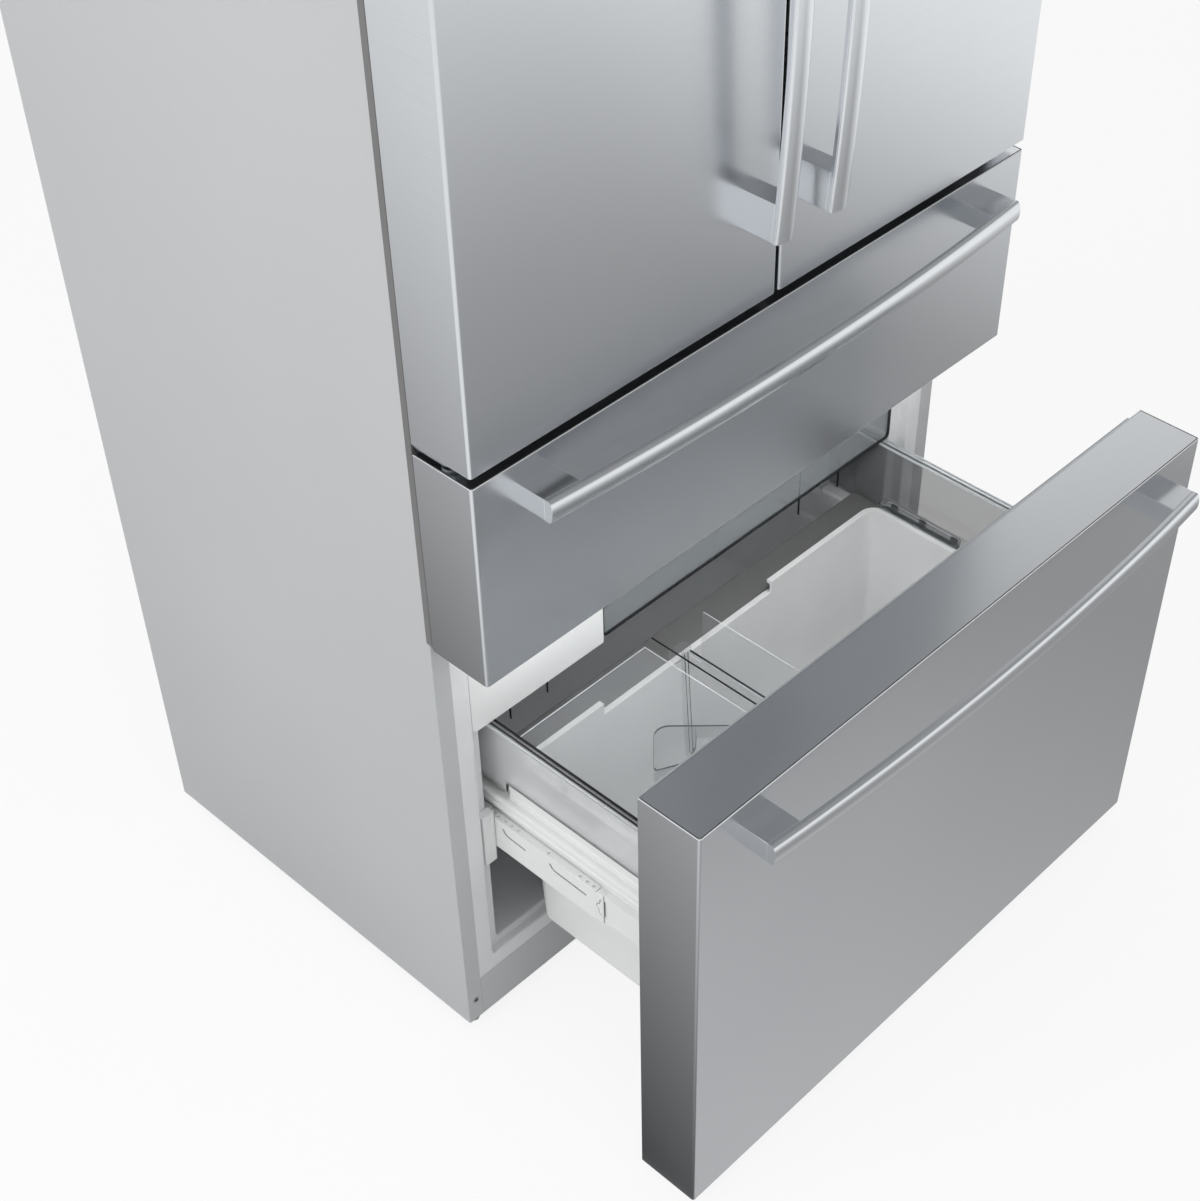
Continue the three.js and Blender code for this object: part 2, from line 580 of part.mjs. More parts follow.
// ---- fronts: a stainless pan, its lining and a gasket ----
// Plan outline of a front, drawn in by inset, with rounded front corners and its back at yBack.
function frontOutline(x0, x1, y, yBack, inset) {
  const r = EDGE_R - inset;
  return [...arc(x0 + EDGE_R, y + EDGE_R, r, Math.PI, 1.5 * Math.PI, 5),
    ...arc(x1 - EDGE_R, y + EDGE_R, r, 1.5 * Math.PI, 2 * Math.PI, 5),
    [x1 - inset, yBack], [x0 + inset, yBack]];
}

function frontSkin(x0, x1, z0, z1, y) {
  const outside = raised(frontOutline(x0, x1, y, y + DOOR_T, 0), z0, z1);
  return cut(outside, raised(frontOutline(x0, x1, y, y + DOOR_T + 1, SKIN), z0 + SKIN, z1 - SKIN));
}

function frontCore(x0, x1, z0, z1, y) {
  const gap = SKIN + SKIN_FIT;
  return raised(frontOutline(x0, x1, y, y + DOOR_T - SKIN_FIT, gap), z0 + gap, z1 - gap);
}

function gasketRing(x0, x1, z0, z1, shift) {
  const y0 = BACK_OF_FRONT - SKIN_FIT + FIT - shift;
  const y1 = -FIT - shift;
  return cut(box(x0, x1, y0, y1, z0, z1),
    box(x0 + GASKET_W, x1 - GASKET_W, y0 - 1, y1 + 1, z0 + GASKET_W, z1 - GASKET_W));
}

// A bowed bar with a flat back and a curved front, standing on a flat post at each end.
// along, across and out are picked by the upright flag.
function handle(length, bow, upright, centreX, centreZ, y) {
  const section = [[-BAR_W / 2, 0], [BAR_W / 2, 0]];
  for (let i = 0; i <= 8; i += 1) {
    const a = Math.PI * i / 8;
    section.push([BAR_W / 2 * Math.cos(a), STRIP + ROUND * Math.sin(a)]);
  }
  const count = section.length;
  const stations = 24;
  const positions = [];
  const at = (along, across, out) => (upright
    ? [centreX + across, y - POST_D - out, centreZ + along]
    : [centreX + along, y - POST_D - out, centreZ + across]);
  for (let i = 0; i <= stations; i += 1) {
    const t = -1 + 2 * i / stations;
    for (const [across, out] of section) {
      positions.push(...at(t * length / 2, across, out + bow * (1 - t * t)));
    }
  }
  const index = [];
  for (let i = 0; i < stations; i += 1) {
    for (let j = 0; j < count; j += 1) {
      const a = i * count + j;
      const b = i * count + (j + 1) % count;
      index.push(a, b, a + count, b, b + count, a + count);
    }
  }
  for (let j = 1; j < count - 1; j += 1) {
    index.push(0, j + 1, j);
    const last = stations * count;
    index.push(last, last + j, last + j + 1);
  }
  for (let k = 0; upright && k < index.length; k += 3) {
    [index[k + 1], index[k + 2]] = [index[k + 2], index[k + 1]];
  }
  const g = new THREE.BufferGeometry();
  g.setAttribute('position', new THREE.BufferAttribute(new Float32Array(positions), 3));
  g.setIndex(index);
  let bar = solidOf(g);
  for (const end of [-1, 1]) {
    const a = end * length / 2;
    const b = end * (length / 2 - POST_L);
    const inner = 1 - (1 - 2 * POST_L / length) ** 2;
    const reach = [[a, y - FIT], [a, y - POST_D - 1], [b, y - POST_D - bow * inner - 1], [b, y - FIT]];
    const post = new THREE.ExtrudeGeometry(new THREE.Shape(reach.map(([u, v]) => new THREE.Vector2(u, v))),
      { depth: BAR_W, bevelEnabled: false, steps: 1 });
    post.translate(0, 0, -BAR_W / 2);
    if (upright) {
      post.applyMatrix4(new THREE.Matrix4().makeBasis(new THREE.Vector3(0, 0, 1),
        new THREE.Vector3(0, 1, 0), new THREE.Vector3(-1, 0, 0)));
    }
    post.translate(centreX, 0, centreZ);
    bar = bar.add(solidOf(post));
  }
  return bar;
}

// ---- upper doors ----
function doorDike(s) {
  const x = [s * DIKE_IN, s * DIKE_OUT].sort((a, b) => a - b);
  return cut(box(x[0], x[1], BACK_OF_FRONT - 2, DIKE_DEEP, DIKE_LOW, DIKE_HIGH),
    box(x[0] + DIKE_W, x[1] - DIKE_W, BACK_OF_FRONT - SKIN_FIT, DIKE_DEEP + 1,
      DIKE_LOW + DIKE_W, DIKE_HIGH - DIKE_W));
}

function pinBores(s, r) {
  return [DOOR_LOW - HINGE_CLEAR, DOOR_HIGH + HINGE_CLEAR].map((z, i) =>
    rod('z', s * HINGE_X, HINGE_Y, z + (i ? -1 : 1) * PIN_IN / 2, r, PIN_IN + 6));
}

function flipMullion() {
  const bar = box(FLIP_X - FLIP_T / 2, FLIP_X + FLIP_T / 2, FLIP_Y - FLIP_T / 2, FLIP_Y + FLIP_REACH,
    FLIP_LOW, FLIP_HIGH);
  return cut(bar, ...[FLIP_LOW, FLIP_HIGH].map((z) => rod('z', FLIP_X, FLIP_Y, z, FLIP_BORE_R, 24)));
}

function flipEars() {
  return [[FLIP_LOW, -1], [FLIP_HIGH, 1]].flatMap(([z, up]) => {
    const zs = [z + up * 1, z + up * 5].sort((a, b) => a - b);
    return [box(-DIKE_IN - 8, FLIP_X + 7, FLIP_Y - 7, FLIP_Y + 7, zs[0], zs[1]),
      rod('z', FLIP_X, FLIP_Y, z - up * 3, FLIP_PIN_R, 12, 16)];
  });
}

for (const [side, s] of SIDES) {
  const x = [s * DOOR_GAP / 2, s * FRONT_W / 2].sort((a, b) => a - b);
  const bores = pinBores(s, BORE_R);
  place(`${side}_door_skin`, cut(frontSkin(x[0], x[1], DOOR_LOW, DOOR_HIGH, FRONT_Y), ...bores),
    finish.steel);
  let core = join(cut(frontCore(x[0], x[1], DOOR_LOW, DOOR_HIGH, FRONT_Y), ...bores), doorDike(s));
  if (s < 0) core = join(core, ...flipEars());
  place(`${side}_door_liner`, core, finish.white);
  const g = [s * GASKET_IN, s * GASKET_X].sort((a, b) => a - b);
  place(`${side}_door_gasket`, gasketRing(g[0], g[1], DOOR_LOW + 9, DOOR_HIGH - 25, 0), finish.rubber);
  place(`${side}_door_handle`, handle(DOOR_HIGH - DOOR_LOW - 2 * DOOR_BAR_END, DOOR_BOW, true,
    s * (DOOR_BAR_INSET + BAR_W / 2), (DOOR_HIGH + DOOR_LOW) / 2, FRONT_Y), finish.steel);
  const b = [s * (DIKE_IN + DIKE_W + FIT), s * (DIKE_OUT - DIKE_W - FIT)].sort((p, q) => p - q);
  BIN_LEVELS.forEach((z, i) => {
    place(`${side}_door_bin_${i ? 'upper' : 'lower'}`,
      tub(b[0], b[1], BACK_OF_FRONT - SKIN_FIT + FIT, BIN_DEEP, z, z + BIN_H, BIN_WALL), finish.clear);
  });
}
place('flip_mullion', flipMullion(), finish.grey);

// ---- middle drawer ----
place('middle_drawer_skin', frontSkin(-FRONT_W / 2, FRONT_W / 2, MID_LOW, MID_HIGH, FRONT_Y), finish.steel);
place('middle_drawer_liner', frontCore(-FRONT_W / 2, FRONT_W / 2, MID_LOW, MID_HIGH, FRONT_Y), finish.white);
place('middle_drawer_gasket', gasketRing(-GASKET_X, GASKET_X, MID_LOW + 6, MID_HIGH - 6, 0), finish.rubber);
const DRAWER_BAR_L = FRONT_W - 2 * DRAWER_BAR_END;
place('middle_drawer_handle', handle(DRAWER_BAR_L, DRAWER_BOW, false, 0,
  MID_HIGH - DRAWER_BAR_DROP - BAR_W / 2, FRONT_Y), finish.steel);

function middleBin() {
  const body = tub(-MID_BIN_HALF, MID_BIN_HALF, BACK_OF_FRONT - SKIN_FIT + FIT, MID_BIN_BACK,
    MID_BIN_LOW, MID_BIN_HIGH, BIN_WALL);
  const wings = SIDES.map(([, s]) => box(s * (MID_BIN_HALF - 1), s * (MIDDLE.half - 2), 2, MID_BIN_BACK - 2,
    RUNNER_LEDGE_TOP + FIT, RUNNER_LEDGE_TOP + 5));
  return join(body, ...wings);
}
place('middle_drawer_bin', middleBin(), finish.white);

// ---- freezer drawer, standing out by DRAWN_OUT ----
const OUT = DRAWN_OUT;
const FRZ_BACK = BACK_OF_FRONT - SKIN_FIT - OUT;

place('freezer_drawer_skin', frontSkin(-FRONT_W / 2, FRONT_W / 2, FRZ_LOW, FRZ_HIGH, FRONT_Y - OUT),
  finish.steel);
const FRZ_PANEL = box(22.5 - BASKET_HALF, BASKET_HALF - 22.5, FRZ_BACK - 1, FRZ_BACK + 4,
  BASKET_RIM + 15, FRZ_HIGH - 37.8);
place('freezer_drawer_liner', join(frontCore(-FRONT_W / 2, FRONT_W / 2, FRZ_LOW, FRZ_HIGH, FRONT_Y - OUT),
  FRZ_PANEL), finish.white);
place('freezer_drawer_gasket', gasketRing(-GASKET_X, GASKET_X, KICK_TOP + 10, FRZ_HIGH - 6, OUT),
  finish.rubber);
place('freezer_drawer_handle', handle(DRAWER_BAR_L, DRAWER_BOW, false, 0,
  FRZ_HIGH - DRAWER_BAR_DROP - BAR_W / 2, FRONT_Y - OUT), finish.steel);

function runner(s) {
  const y0 = FRZ_BACK + FIT;
  const d = FRAME_D;
  const z = MEMBER_Z[1];
  const slide = box(s * (MEMBER_D - RAIL_T - FIT), s * (d - 1), y0, RUNNER_BACK,
    MEMBER_Z[0] + RAIL_T + FIT, z - RAIL_T - FIT);
  const web = box(s * (d - 0.5), s * (d - 4.5), y0, RUNNER_BACK, MEMBER_Z[0] + 9, z + 17);
  const bar = (points, y1) => carried(points.map(([u, v]) => [s * (d + u), z + v]), y0, y1);
  const rail = bar([[6.5, 14], [3.5, 10], [-11.5, 10], [-15.5, 14], [-15.5, 29], [-12.5, 33], [3.5, 33],
    [6.5, 29]], RUNNER_BACK);
  const upper = bar([[-1.5, 31], [-1.5, 54], [-4.5, 58], [-15.5, 58], [-18.5, 54], [-18.5, 35],
    [-14.5, 31]], RUNNER_SHORT);
  return join(slide, web, rail, upper);
}

function sideFrame(s) {
  const y0 = FRZ_BACK + FIT;
  const low = RUNNER_TOP + FIT;
  const wall = box(s * FRAME_D, s * (FRAME_D - 3), y0, RUNNER_BACK, low, FRAME_TOP);
  const rim = box(s * (FRAME_D + 8), s * (FRAME_D - 5), y0, RUNNER_BACK, FRAME_TOP - 4, FRAME_TOP);
  const ledge = box(s * FRAME_D, s * (BASKET_HALF + 0.6), y0, RUNNER_SHORT, low, BASKET_RIM - RIM_T - FIT);
  const back = box(s * (FRAME_D - 1), s * (FRAME_D - 6), RUNNER_SHORT, RUNNER_BACK, low, low + 6);
  return join(wall, rim, ledge, back);
}

function basket() {
  const y0 = FRZ_BACK + FIT + 4;
  const y1 = y0 + BASKET_DEEP - 4;
  const walls = (grow, low, high, extra) => {
    const t = BASKET_TAPER;
    const g = new THREE.BufferGeometry();
    const corners = [[low, t], [high, 0]].flatMap(([z, pull]) => [
      [-BASKET_HALF + grow + pull, y0 + grow], [BASKET_HALF - grow - pull, y0 + grow],
      [BASKET_HALF - grow - pull, y1 - grow - pull], [-BASKET_HALF + grow + pull, y1 - grow - pull],
    ].map(([x, y]) => [x, y, z + (z === high ? extra : 0)]));
    g.setAttribute('position', new THREE.BufferAttribute(new Float32Array(corners.flat()), 3));
    g.setIndex([0, 2, 1, 0, 3, 2, 4, 5, 6, 4, 6, 7, 0, 1, 5, 0, 5, 4, 1, 2, 6, 1, 6, 5,
      2, 3, 7, 2, 7, 6, 3, 0, 4, 3, 4, 7]);
    return solidOf(g);
  };
  const hollow = walls(BIN_WALL, BASKET_LOW + BIN_WALL, BASKET_RIM, 6);
  const rim = box(-BASKET_HALF - RIM_OUT, BASKET_HALF + RIM_OUT, y0, y1 + 5, BASKET_RIM - RIM_T, BASKET_RIM);
  const notch = box(NOTCH[0], NOTCH[1], y1 - 20, y1 + 10, BASKET_RIM - NOTCH_DROP, BASKET_RIM + 1);
  const shelf = box(NOTCH[0] - 1, NOTCH[1] + 1, y1 - 3, y1 + 5, BASKET_RIM - NOTCH_DROP - 5,
    BASKET_RIM - NOTCH_DROP);
  return cut(join(cut(join(walls(0, BASKET_LOW, BASKET_RIM, 0), rim), notch), shelf), hollow);
}

function divider() {
  const y0 = FRZ_BACK + FIT + 4 + BIN_WALL + 0.6;
  const y1 = FRZ_BACK + FIT + BASKET_DEEP - BIN_WALL - BASKET_TAPER - 1;
  const x0 = DIVIDER_X - DIVIDER_T / 2;
  const x1 = DIVIDER_X + DIVIDER_T / 2;
  const plate = box(x0, x1, y0, y1, BASKET_LOW + 12, BASKET_RIM + 2);
  const upper = box(x0, x1, y0 + 4, y1 + 9, BASKET_RIM - NOTCH_DROP + FIT, FRAME_TOP - 3);
  const rib = box(DIVIDER_X - 7, DIVIDER_X + 7, y0 + 1, y1 - 1, BASKET_RIM - 4, BASKET_RIM);
  const clip = box(DIVIDER_X - 15, DIVIDER_X + 15, y1 - 2, y1 + 10,
    BASKET_RIM - NOTCH_DROP + FIT, BASKET_RIM + 8);
  const front = box(DIVIDER_X - 15, DIVIDER_X + 15, y0 - 3, y0 + 6, BASKET_RIM + FIT, BASKET_RIM + 8);
  return join(plate, upper, rib, clip, front);
}

place('freezer_basket', basket(), finish.white);
place('basket_divider', divider(), finish.clear);
for (const [side, s] of SIDES) {
  place(`freezer_runner_${side}`, runner(s), finish.white);
  place(`freezer_frame_${side}`, sideFrame(s), finish.clear);
}

export default group;
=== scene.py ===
"""Looks of a bottom freezer refrigerator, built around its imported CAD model.

Sizes are millimetres and Blender works in metres. +X is the right seen from the front, the doors
face -Y, +Z is up and the floor is at z = 0. The freezer drawer stands out, as in the photograph.
"""

import json
import logging
import math
from collections.abc import Callable, Sequence
from dataclasses import dataclass
from enum import Enum
from typing import Any

import bmesh
import bpy
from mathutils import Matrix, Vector

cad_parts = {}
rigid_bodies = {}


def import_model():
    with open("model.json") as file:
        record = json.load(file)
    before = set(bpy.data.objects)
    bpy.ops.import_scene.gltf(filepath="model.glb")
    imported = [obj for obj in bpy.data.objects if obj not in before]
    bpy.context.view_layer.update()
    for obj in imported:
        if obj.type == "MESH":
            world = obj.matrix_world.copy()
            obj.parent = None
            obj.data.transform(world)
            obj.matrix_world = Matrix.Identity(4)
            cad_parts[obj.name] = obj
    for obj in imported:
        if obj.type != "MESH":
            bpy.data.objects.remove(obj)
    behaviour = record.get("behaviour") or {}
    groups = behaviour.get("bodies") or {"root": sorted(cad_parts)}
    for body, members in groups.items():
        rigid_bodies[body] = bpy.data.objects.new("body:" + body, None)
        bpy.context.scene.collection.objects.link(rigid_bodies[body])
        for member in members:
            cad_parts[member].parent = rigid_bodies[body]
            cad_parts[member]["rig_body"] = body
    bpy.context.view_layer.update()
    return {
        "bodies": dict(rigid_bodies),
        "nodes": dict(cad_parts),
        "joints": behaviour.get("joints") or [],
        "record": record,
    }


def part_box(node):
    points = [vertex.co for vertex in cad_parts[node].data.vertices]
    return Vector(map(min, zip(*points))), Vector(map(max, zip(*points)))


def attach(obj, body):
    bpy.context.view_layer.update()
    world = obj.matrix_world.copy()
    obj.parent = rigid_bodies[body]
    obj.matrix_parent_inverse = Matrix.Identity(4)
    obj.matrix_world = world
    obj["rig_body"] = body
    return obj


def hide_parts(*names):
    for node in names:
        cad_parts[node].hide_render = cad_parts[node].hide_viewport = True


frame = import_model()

log = logging.getLogger("refrigerator")

MM = 0.001
TOUCH = 0.05  # how near a coordinate counts as lying on a plane
ALIKE = 0.02  # how near two points are that are meant as one
DOUBLE = 0.001  # how near they are when an operator has made them twice
FACING = 0.9  # share of a normal along an axis that counts as facing that way
SQUARE = 0.999  # the same for a face that is square to the axis
FLAT_ANGLE = 0.8  # degrees between the triangles of one flat CAD face, at most
SMOOTH_ANGLE = 32.0  # degrees between faces that are shaded as one, at most

Pair = tuple[float, float]
Point = tuple[float, float, float]
Box = tuple[float, float, float, float]  # from and to along one axis, then along another
Reach = tuple[float, float, float, float]  # from, to, and the level at either
Outline = Sequence[Pair]
FaceTest = Callable[[Vector, Vector], bool]
EdgeTest = Callable[[Vector, Vector], bool]

CASE_FRONT = -73.9  # front plane of the case
CASE_HALF = 452.5
PIN_X, PIN_Y = 438.5, -118.9  # the right door's hinge pins
SIDES = (("left", -1), ("right", 1))
ENDS = (-1, 1)
WHITE = (1.0, 1.0, 1.0, 1.0)


# ---- finishes ----


class Slot(Enum):
    """The record's material slots."""

    CASE = "painted_case"
    STEEL = "stainless"
    ZINC = "zinc_steel"
    BLACK = "machine_black"
    WHITE = "liner_white"
    GREY = "grey_plastic"
    SEAL = "door_seal"
    RUBBER = "black_rubber"
    FOAM = "foam"
    CLEAR = "clear_plastic"


def linear(colour: str) -> tuple[float, float, float, float]:
    """Turns an sRGB hex colour to linear.

    Args:
        colour: the colour as "#RRGGBB".

    Returns:
        Linear red, green, blue and an alpha of 1.
    """
    parts = [int(colour[i : i + 2], 16) / 255 for i in (1, 3, 5)]
    red, green, blue = (c / 12.92 if c <= 0.04045 else ((c + 0.055) / 1.055) ** 2.4 for c in parts)
    return red, green, blue, 1.0


def add(
    tree: bpy.types.NodeTree,
    kind: str,
    settings: dict[str | int, Any] | None = None,
    links: dict[str | int, bpy.types.NodeSocket] | None = None,
) -> bpy.types.Node:
    """Adds a node with its settings and links.

    Args:
        tree: the node tree.
        kind: the node's type.
        settings: values of the node's own properties or of its inputs, by name or number.
        links: the output that feeds each input, by the input's name or number.

    Returns:
        The new node.
    """
    node = tree.nodes.new(kind)
    for key, value in (settings or {}).items():
        if isinstance(key, str) and hasattr(node, key):
            setattr(node, key, value)
        else:
            node.inputs[key].default_value = value
    for key, output in (links or {}).items():
        tree.links.new(output, node.inputs[key])
    return node


def levels(*values: float) -> dict[str | int, Any]:
    """Settings for a Map Range node: from, to, and the level at either."""
    return dict(zip(("From Min", "From Max", "To Min", "To Max"), values))


@dataclass(frozen=True)
class Finish:
    """A finish on a solid surface: two tones that drift into each other, and a fine relief.

    grain is the size of one grain along X, Y and Z in millimetres, drift the size of the clouds
    between the tones, relief the height of the grain, and streaks how much the grain colours.
    """

    name: str
    slot: Slot
    colour: str
    tone: str
    rough: Pair
    grain: Point
    relief: float
    drift: float = 160.0
    streaks: float = 0.25
    metallic: float = 0.0
    ior: float = 1.5
    anisotropy: float = 0.0

    def material(self) -> bpy.types.Material:
        """The finish as a Blender material, made once."""
        made = bpy.data.materials.get(self.name)
        if made is None:
            made = bpy.data.materials.new(self.name)
            made.use_nodes = True
            self.dress(made.node_tree, made.node_tree.nodes["Principled BSDF"])
        return made

    def dress(self, tree: bpy.types.NodeTree, shader: bpy.types.Node) -> None:
        """Links the finish's pattern to the shader.

        Args:
            tree: the material's node tree.
            shader: its Principled shader.
        """
        place = add(tree, "ShaderNodeTexCoord").outputs["Object"]
        scale = {"Scale": [1 / (size * MM) for size in self.grain]}
        mapped = add(tree, "ShaderNodeMapping", scale, {"Vector": place}).outputs[0]
        fine = {"Scale": 1.0, "Detail": 3.0, "Roughness": 0.6}
        grain = add(tree, "ShaderNodeTexNoise", fine, {"Vector": mapped}).outputs["Fac"]
        broad = {"Scale": 1 / (self.drift * MM), "Detail": 2.0}
        clouds = add(tree, "ShaderNodeTexNoise", broad, {"Vector": place}).outputs["Fac"]
        mix = {"data_type": "FLOAT", 0: self.streaks}
        blend = add(tree, "ShaderNodeMix", mix, {2: clouds, 3: grain}).outputs[0]
        spread = levels(0.3, 0.7, 0.0, 1.0)
        share = add(tree, "ShaderNodeMapRange", spread, {"Value": blend}).outputs[0]
        tones = {"data_type": "RGBA", 6: linear(self.colour), 7: linear(self.tone)}
        colour = add(tree, "ShaderNodeMix", tones, {0: share}).outputs[2]
        spread = levels(0.25, 0.75, *self.rough)
        rough = add(tree, "ShaderNodeMapRange", spread, {"Value": grain}).outputs[0]
        relief = {"Strength": 0.5, "Distance": self.relief * MM}
        bump = add(tree, "ShaderNodeBump", relief, {"Height": grain}).outputs[0]
        for name, output in (("Base Color", colour), ("Roughness", rough), ("Normal", bump)):
            tree.links.new(output, shader.inputs[name])
        shader.inputs["Metallic"].default_value = self.metallic
        if self.anisotropy:
            shader.inputs["Anisotropic"].default_value = self.anisotropy
            tangent = add(tree, "ShaderNodeTangent", {"direction_type": "RADIAL", "axis": "Z"})
            tree.links.new(tangent.outputs[0], shader.inputs["Tangent"])
        if not self.metallic:
            shader.inputs["IOR"].default_value = self.ior


@dataclass(frozen=True)
class Clear(Finish):
    """A see-through moulding: nearly clear face on, denser where it is seen along its surface."""

    drift: float = 120.0
    streaks: float = 0.3
    face_on: float = 0.2  # density seen face on, and along the surface
    edge_on: float = 0.75

    def dress(self, tree: bpy.types.NodeTree, shader: bpy.types.Node) -> None:
        """Adds the see-through share to the finish's pattern.

        Args:
            tree: the material's node tree.
            shader: its Principled shader.
        """
        super().dress(tree, shader)
        facing = add(tree, "ShaderNodeLayerWeight", {"Blend": 0.4}).outputs["Fresnel"]
        density = levels(0.0, 1.0, self.face_on, self.edge_on)
        alpha = add(tree, "ShaderNodeMapRange", density, {"Value": facing}).outputs[0]
        tree.links.new(alpha, shader.inputs["Alpha"])


# Ferritic stainless sheet, brushed from side to side: long fine lines and a soft upright sheen.
# Its lines are a tenth of a millimetre, drawn at 0.9 mm so that they show.
BRUSHED = Finish(
    "brushed_stainless_sheet", Slot.STEEL, "#E0E3E6", "#DADDE1", (0.23, 0.27),
    (90.0, 90.0, 0.9), 0.0012, drift=420.0, streaks=0.45, metallic=1.0, anisotropy=0.3,
)
# The same sheet where it is folded over an end, its lines still running from side to side.
BRUSHED_END = Finish(
    "brushed_stainless_folded_end", Slot.STEEL, "#E0E3E6", "#DADDE1", (0.23, 0.27),
    (90.0, 0.9, 0.9), 0.0012, drift=420.0, streaks=0.45, metallic=1.0,
)
# The same steel as solid bar, brushed along its length, which gives one long broad highlight.
BAR_ACROSS = Finish(
    "brushed_stainless_bar_across", Slot.STEEL, "#E2E5E8", "#DBDEE2", (0.2, 0.25),
    (60.0, 0.8, 0.8), 0.0012, drift=200.0, streaks=0.5, metallic=1.0,
)
BAR_UPRIGHT = Finish(
    "brushed_stainless_bar_upright", Slot.STEEL, "#E2E5E8", "#DBDEE2", (0.2, 0.25),
    (0.8, 0.8, 60.0), 0.0012, drift=200.0, streaks=0.5, metallic=1.0,
)
# Polyester powder on steel sheet: satin light grey with a fine orange peel of about 2 mm.
POWDER = Finish(
    "powder_coated_steel", Slot.CASE, "#C4C6C8", "#BFC1C3", (0.42, 0.52),
    (2.2, 2.2, 2.2), 0.03, drift=500.0, streaks=0.1,
)
# High impact polystyrene drawn over a mould: white with a soft low gloss and faint waves.
LINER_WHITE = Finish(
    "thermoformed_polystyrene", Slot.WHITE, "#EAEBEC", "#E2E3E4", (0.34, 0.46),
    (9.0, 9.0, 9.0), 0.05, drift=220.0, streaks=0.15,
)
# Injection moulded ABS: bright white, even, a little glossier than the liner.
ABS_WHITE = Finish(
    "moulded_white_abs", Slot.WHITE, "#EEEFEF", "#E7E8E8", (0.26, 0.36),
    (1.4, 1.4, 1.4), 0.012, drift=140.0, streaks=0.1,
)
# Injection moulded ABS in grey, with a fine spark texture of about 1 mm.
ABS_GREY = Finish(
    "moulded_grey_abs", Slot.GREY, "#9A9DA0", "#909396", (0.45, 0.6),
    (1.1, 1.1, 1.1), 0.04, drift=120.0, streaks=0.35,
)
# Darker polypropylene of the air duct cover, matt; on the narrow strips and in the clips' slots, painted
# shade.
DUCT_GREY_AND_SHADE = Finish(
    "dark_grey_polypropylene_and_painted_shade", Slot.GREY, "#7A7A7A", "#717171", (0.5, 0.65),
    (1.3, 1.3, 1.3), 0.04, drift=150.0, streaks=0.3,
)
# Extruded soft vinyl seal: pale grey, matt, with faint lines from the die.
SEAL_GREY = Finish(
    "extruded_vinyl_seal", Slot.SEAL, "#B9BCBE", "#AEB1B4", (0.55, 0.7),
    (30.0, 30.0, 1.2), 0.03, drift=90.0, streaks=0.3,
)
# Nitrile rubber: near black and dull, dusty grey in patches.
RUBBER_BLACK = Finish(
    "nitrile_rubber", Slot.RUBBER, "#242527", "#313335", (0.65, 0.85),
    (1.5, 1.5, 1.5), 0.06, drift=25.0, streaks=0.4,
)
# Rigid polyurethane foam: cream, open and crumbly at 3 mm.
FOAM_CREAM = Finish(
    "rigid_polyurethane_foam", Slot.FOAM, "#E8DFC0", "#D9CDA5", (0.8, 0.95),
    (3.0, 3.0, 3.0), 0.4, drift=60.0, streaks=0.5,
)
# Hot dip galvanised sheet: cool grey with spangles of about 12 mm.
GALVANISED = Finish(
    "galvanised_steel", Slot.ZINC, "#A9ADB2", "#8F9499", (0.32, 0.5),
    (12.0, 12.0, 12.0), 0.02, drift=14.0, streaks=0.5, metallic=1.0,
)
# Black stoving enamel on the machine parts: deep, half gloss, lightly dusted.
ENAMEL_BLACK = Finish(
    "black_stoving_enamel", Slot.BLACK, "#1C1D1F", "#2A2B2D", (0.3, 0.48),
    (2.0, 2.0, 2.0), 0.04, drift=45.0, streaks=0.3,
)
# Painted highlight on the rolled edges of the sheet: too narrow to mirror anything that can be made
# out, they are drawn matt and pale, as the light they catch looks from every side.
EDGE_HIGHLIGHT = Finish(
    "painted_edge_highlight", Slot.STEEL, "#E6E8EA", "#DEE0E3", (0.4, 0.5),
    (30.0, 30.0, 0.9), 0.004, drift=200.0, streaks=0.3,
)
# Painted shade: a dark gap between two folded sheets, in a slot or behind a hole, where no light comes
# back.
GAP_SHADE = Finish(
    "shadowed_fold", Slot.STEEL, "#2B2D2F", "#222426", (0.6, 0.8),
    (4.0, 4.0, 0.8), 0.01, drift=60.0, streaks=0.3,
)
# Clear SAN copolymer: cool and glassy, with a slight grey tint.
SAN_CLEAR = Clear(
    "clear_san", Slot.CLEAR, "#C9CFD3", "#C0C7CB", (0.06, 0.12),
    (25.0, 25.0, 25.0), 0.02, ior=1.57, face_on=0.035, edge_on=0.3,
)
# Clear SAN so thin and even that little more than its edges shows.
SAN_FILM = Clear(
    "clear_san_thin", Slot.CLEAR, "#C9CFD3", "#C0C7CB", (0.06, 0.12),
    (25.0, 25.0, 25.0), 0.005, ior=1.12, face_on=0.012, edge_on=0.14,
)
# Milky SAN of the shelves along the frame, which lets little through.
SAN_MILKY = Clear(
    "milky_san", Slot.CLEAR, "#DDDEDF", "#D4D5D6", (0.2, 0.3),
    (25.0, 25.0, 25.0), 0.01, ior=1.3, face_on=0.7, edge_on=0.9,
)
# Thick walls of the frame, the left one: a thin white veil of painted light over what lies behind them.
SAN_VEIL = Clear(
    "clear_san_wall", Slot.CLEAR, "#EEEFF0", "#E5E6E7", (0.12, 0.2),
    (25.0, 25.0, 25.0), 0.01, ior=1.3, face_on=0.32, edge_on=0.65,
)
# The same walls where they stand against the light: a darker copy of painted shade, for the right wall.
SAN_SHADED_WALL = Clear(
    "clear_san_wall_painted_shade", Slot.CLEAR, "#727475", "#6B6D6E", (0.08, 0.14),
    (25.0, 25.0, 25.0), 0.02, ior=1.57, face_on=0.3, edge_on=0.55,
)
# Cut edge of clear plastic that catches the light, drawn as a painted highlight.
SAN_LIT = Finish(
    "clear_san_lit_edge", Slot.CLEAR, "#D9DDE0", "#CFD4D8", (0.1, 0.2),
    (8.0, 8.0, 8.0), 0.01, drift=40.0, streaks=0.3, ior=1.57,
)
